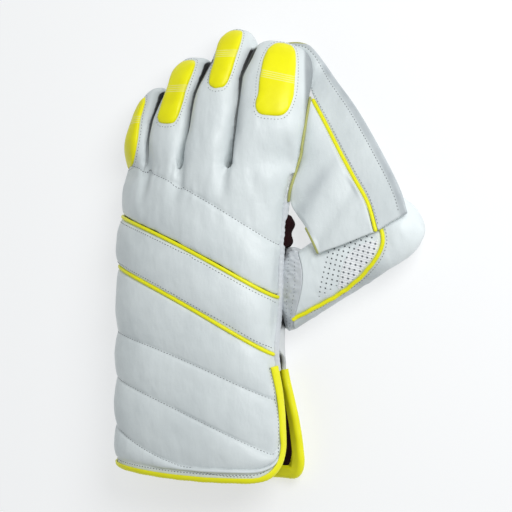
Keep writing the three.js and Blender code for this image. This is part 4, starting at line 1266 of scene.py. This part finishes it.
def webGrid(inner, outer, innerGap, outerGap, crown, rows, columns, dents=()):
    a, b = resample(inner, rows)[:, None], resample(outer, rows)[:, None]
    v = np.linspace(0, 1, columns)[None, :, None]
    u = np.linspace(0, 1, rows)[:, None, None]
    length = np.linalg.norm(b - a, axis=-1, keepdims=True)
    start, end = a + (b - a) * innerGap / length, b - (b - a) * outerGap / length
    p = start + (end - start) * v
    p[..., 2] += (crown * np.sin(math.pi * v) * np.sin(math.pi * u) ** 0.5)[..., 0]
    normal = unit(np.cross(np.gradient(p, axis=0), np.gradient(p, axis=1)))
    normal *= np.sign(normal[..., 2:3])
    lift = ripples(p, 0.03, 12) * 1.2 + ripples(p, 0.09, 13) * 0.4
    for at, way, wide, deep in dents:
        off = (p[..., 0] - at[0]) * way[1] - (p[..., 1] - at[1]) * way[0]
        lift = lift + deep * bell(off, wide)
    edge = np.minimum(step(v[..., 0], 0, 0.08), 1 - step(v[..., 0], 0.92, 1))
    rounding = np.minimum(np.minimum(v[..., 0], 1 - v[..., 0]) * length[..., 0], 2.2) / 2.2
    half = 1.5 * (0.55 + 0.45 * np.sqrt(np.maximum(1 - (1 - rounding) ** 2, 0)))
    return p + normal * (lift * edge + half)[..., None], p + normal * (lift * edge - half)[..., None]


dents = (((128, 96), (0.55, 0.83), 7, -2.2), ((112, 104), (0.5, 0.86), 9, 1.2))
panelTop, panelUnder = webGrid(panelInner, webSeam, 0, 2.0, 3, 120, 90, dents)
webPanel = slabPiece("web_inner_panel", panelTop, panelUnder, bandLeather, "light_leather", ["web_panel"])
# Painted shade along a diagonal fold of the web panel, placed by a line as the camera sees it, kept as the
# vertex value rim.
lowered = seenAcross(panelTop) - 30.7 - (panelTop[..., 1] - 84.7) * 0.66
wearAndFoldShade = 0.55 * bell(lowered, 6) * step(panelTop[..., 1], 74, 86) * step(-panelTop[..., 1], -130, -112)
vertexValues(webPanel, "rim", np.tile(wearAndFoldShade.ravel(), 2))
bandTop, bandUnder = webGrid(bandInnerLine, webEdge, 2.0, 0, 1.5, 150, 50)
webBand = slabPiece("web_outer_band", bandTop, bandUnder, bandLeather, "light_leather", ["web_band"])
acrossBand = np.linspace(0, 1, bandTop.shape[1])[None, :] + np.zeros(bandTop.shape[:2])
alongBand = np.linspace(0, 1, bandTop.shape[0])[:, None] + np.zeros(bandTop.shape[:2])
# Painted shade kept as the vertex value rim: darker towards the band's outer edge where it rolls over, and a
# soft patch partway along it.
shade = 0.4 * bell(alongBand - 0.36, 0.16) * step(acrossBand, 0.1, 0.6)
vertexValues(webBand, "rim", np.tile(np.maximum(step(acrossBand, 0.74, 0.86), shade).ravel(), 2))
finish("web_cord", *tube(resample(webSeam, 130), 1.5), yellow, "yellow_trim", ["web_piping"])
# The web's edge cords wear the yellow trim painted olive, as painted shade in the grooves beside the index
# finger and the hand.
edgeLine = [besideIndex(t, 0) + np.array([0.6, 0, 2.6]) for t in (0.66, 0.5, 0.35, 0.2, 0.08)]
edgeLine += [besideHand(b, 0) + np.array([0.6, 0, 2.6]) for b in (16, 26)]
strands = [tube(resample(edgeLine, 110), 1.1, 10, 0.03),
           tube(resample(panelInner[4:], 60)[30:], 1.5, 10, 0.03),
           tube(resample(topEdge, 40)[3:-5], 1.0, 10, 0.03)]
finish("web_edge_cord", *together(strands), shadedYellow, "olive_trim", ["web_edge_piping"])
bandTree = treeOf(webBand)
webRows = Stitches()
webRows.row(onto(bandTree, bandTop[6:-4, 38]), 2.6, 1.5, 0.28)
webRows.row(onto(bandTree, bandTop[24:-3, 3]), 2.6, 1.4, 0.26)
print("web made")

for name, rows in (("seam", seamStitches), ("pad", rims), ("thumb", thumbRows), ("web", webRows)):
    finish(name + "_stitches", rows.verts, rows.faces, greyThread, "light_leather")


# Floor and light
sky = {"colour": (0.95, 0.985, 1.0, 1), "strength": 0.42}
lamps = (("key", (640, 420, 680), 0.55, 5.85), ("fill", (-700, -100, 700), 0.9, 0.45))


def studio():
    floorPaint = Paint("floor", Base_Color=(0.42, 0.425, 0.43, 1), Roughness=0.9, Specular_IOR_Level=0.0,
                       Emission_Color=(0.955, 0.96, 0.965, 1), Emission_Strength=0.61)
    size = 3.0
    corners = [(-size, -size, 0), (size, -size, 0), (size, size, 0), (-size, size, 0)]
    mesh = bpy.data.meshes.new("floor")
    mesh.from_pydata(corners, [], [(0, 1, 2, 3)])
    floor = bpy.data.objects.new("floor", mesh)
    bpy.context.collection.objects.link(floor)
    mesh.materials.append(floorPaint.material)
    world = bpy.data.worlds.new("sky")
    bpy.context.scene.world = world
    world.use_nodes = True
    background = world.node_tree.nodes["Background"]
    background.inputs["Color"].default_value = sky["colour"]
    background.inputs["Strength"].default_value = sky["strength"]
    for name, place, width, power in lamps:
        data = bpy.data.lights.new(name, "AREA")
        data.shape = "DISK"
        data.size = width
        data.energy = power
        lamp = bpy.data.objects.new(name, data)
        at = Vector(place) * mm
        way = Vector((53, 54, 20)) * mm - at
        lamp.matrix_world = Matrix.Translation(at) @ way.to_track_quat("-Z", "Y").to_matrix().to_4x4()
        bpy.context.collection.objects.link(lamp)
    bpy.context.scene.view_settings.view_transform = "Standard"
    bpy.context.scene.view_settings.look = "None"


studio()
print("studio ready")
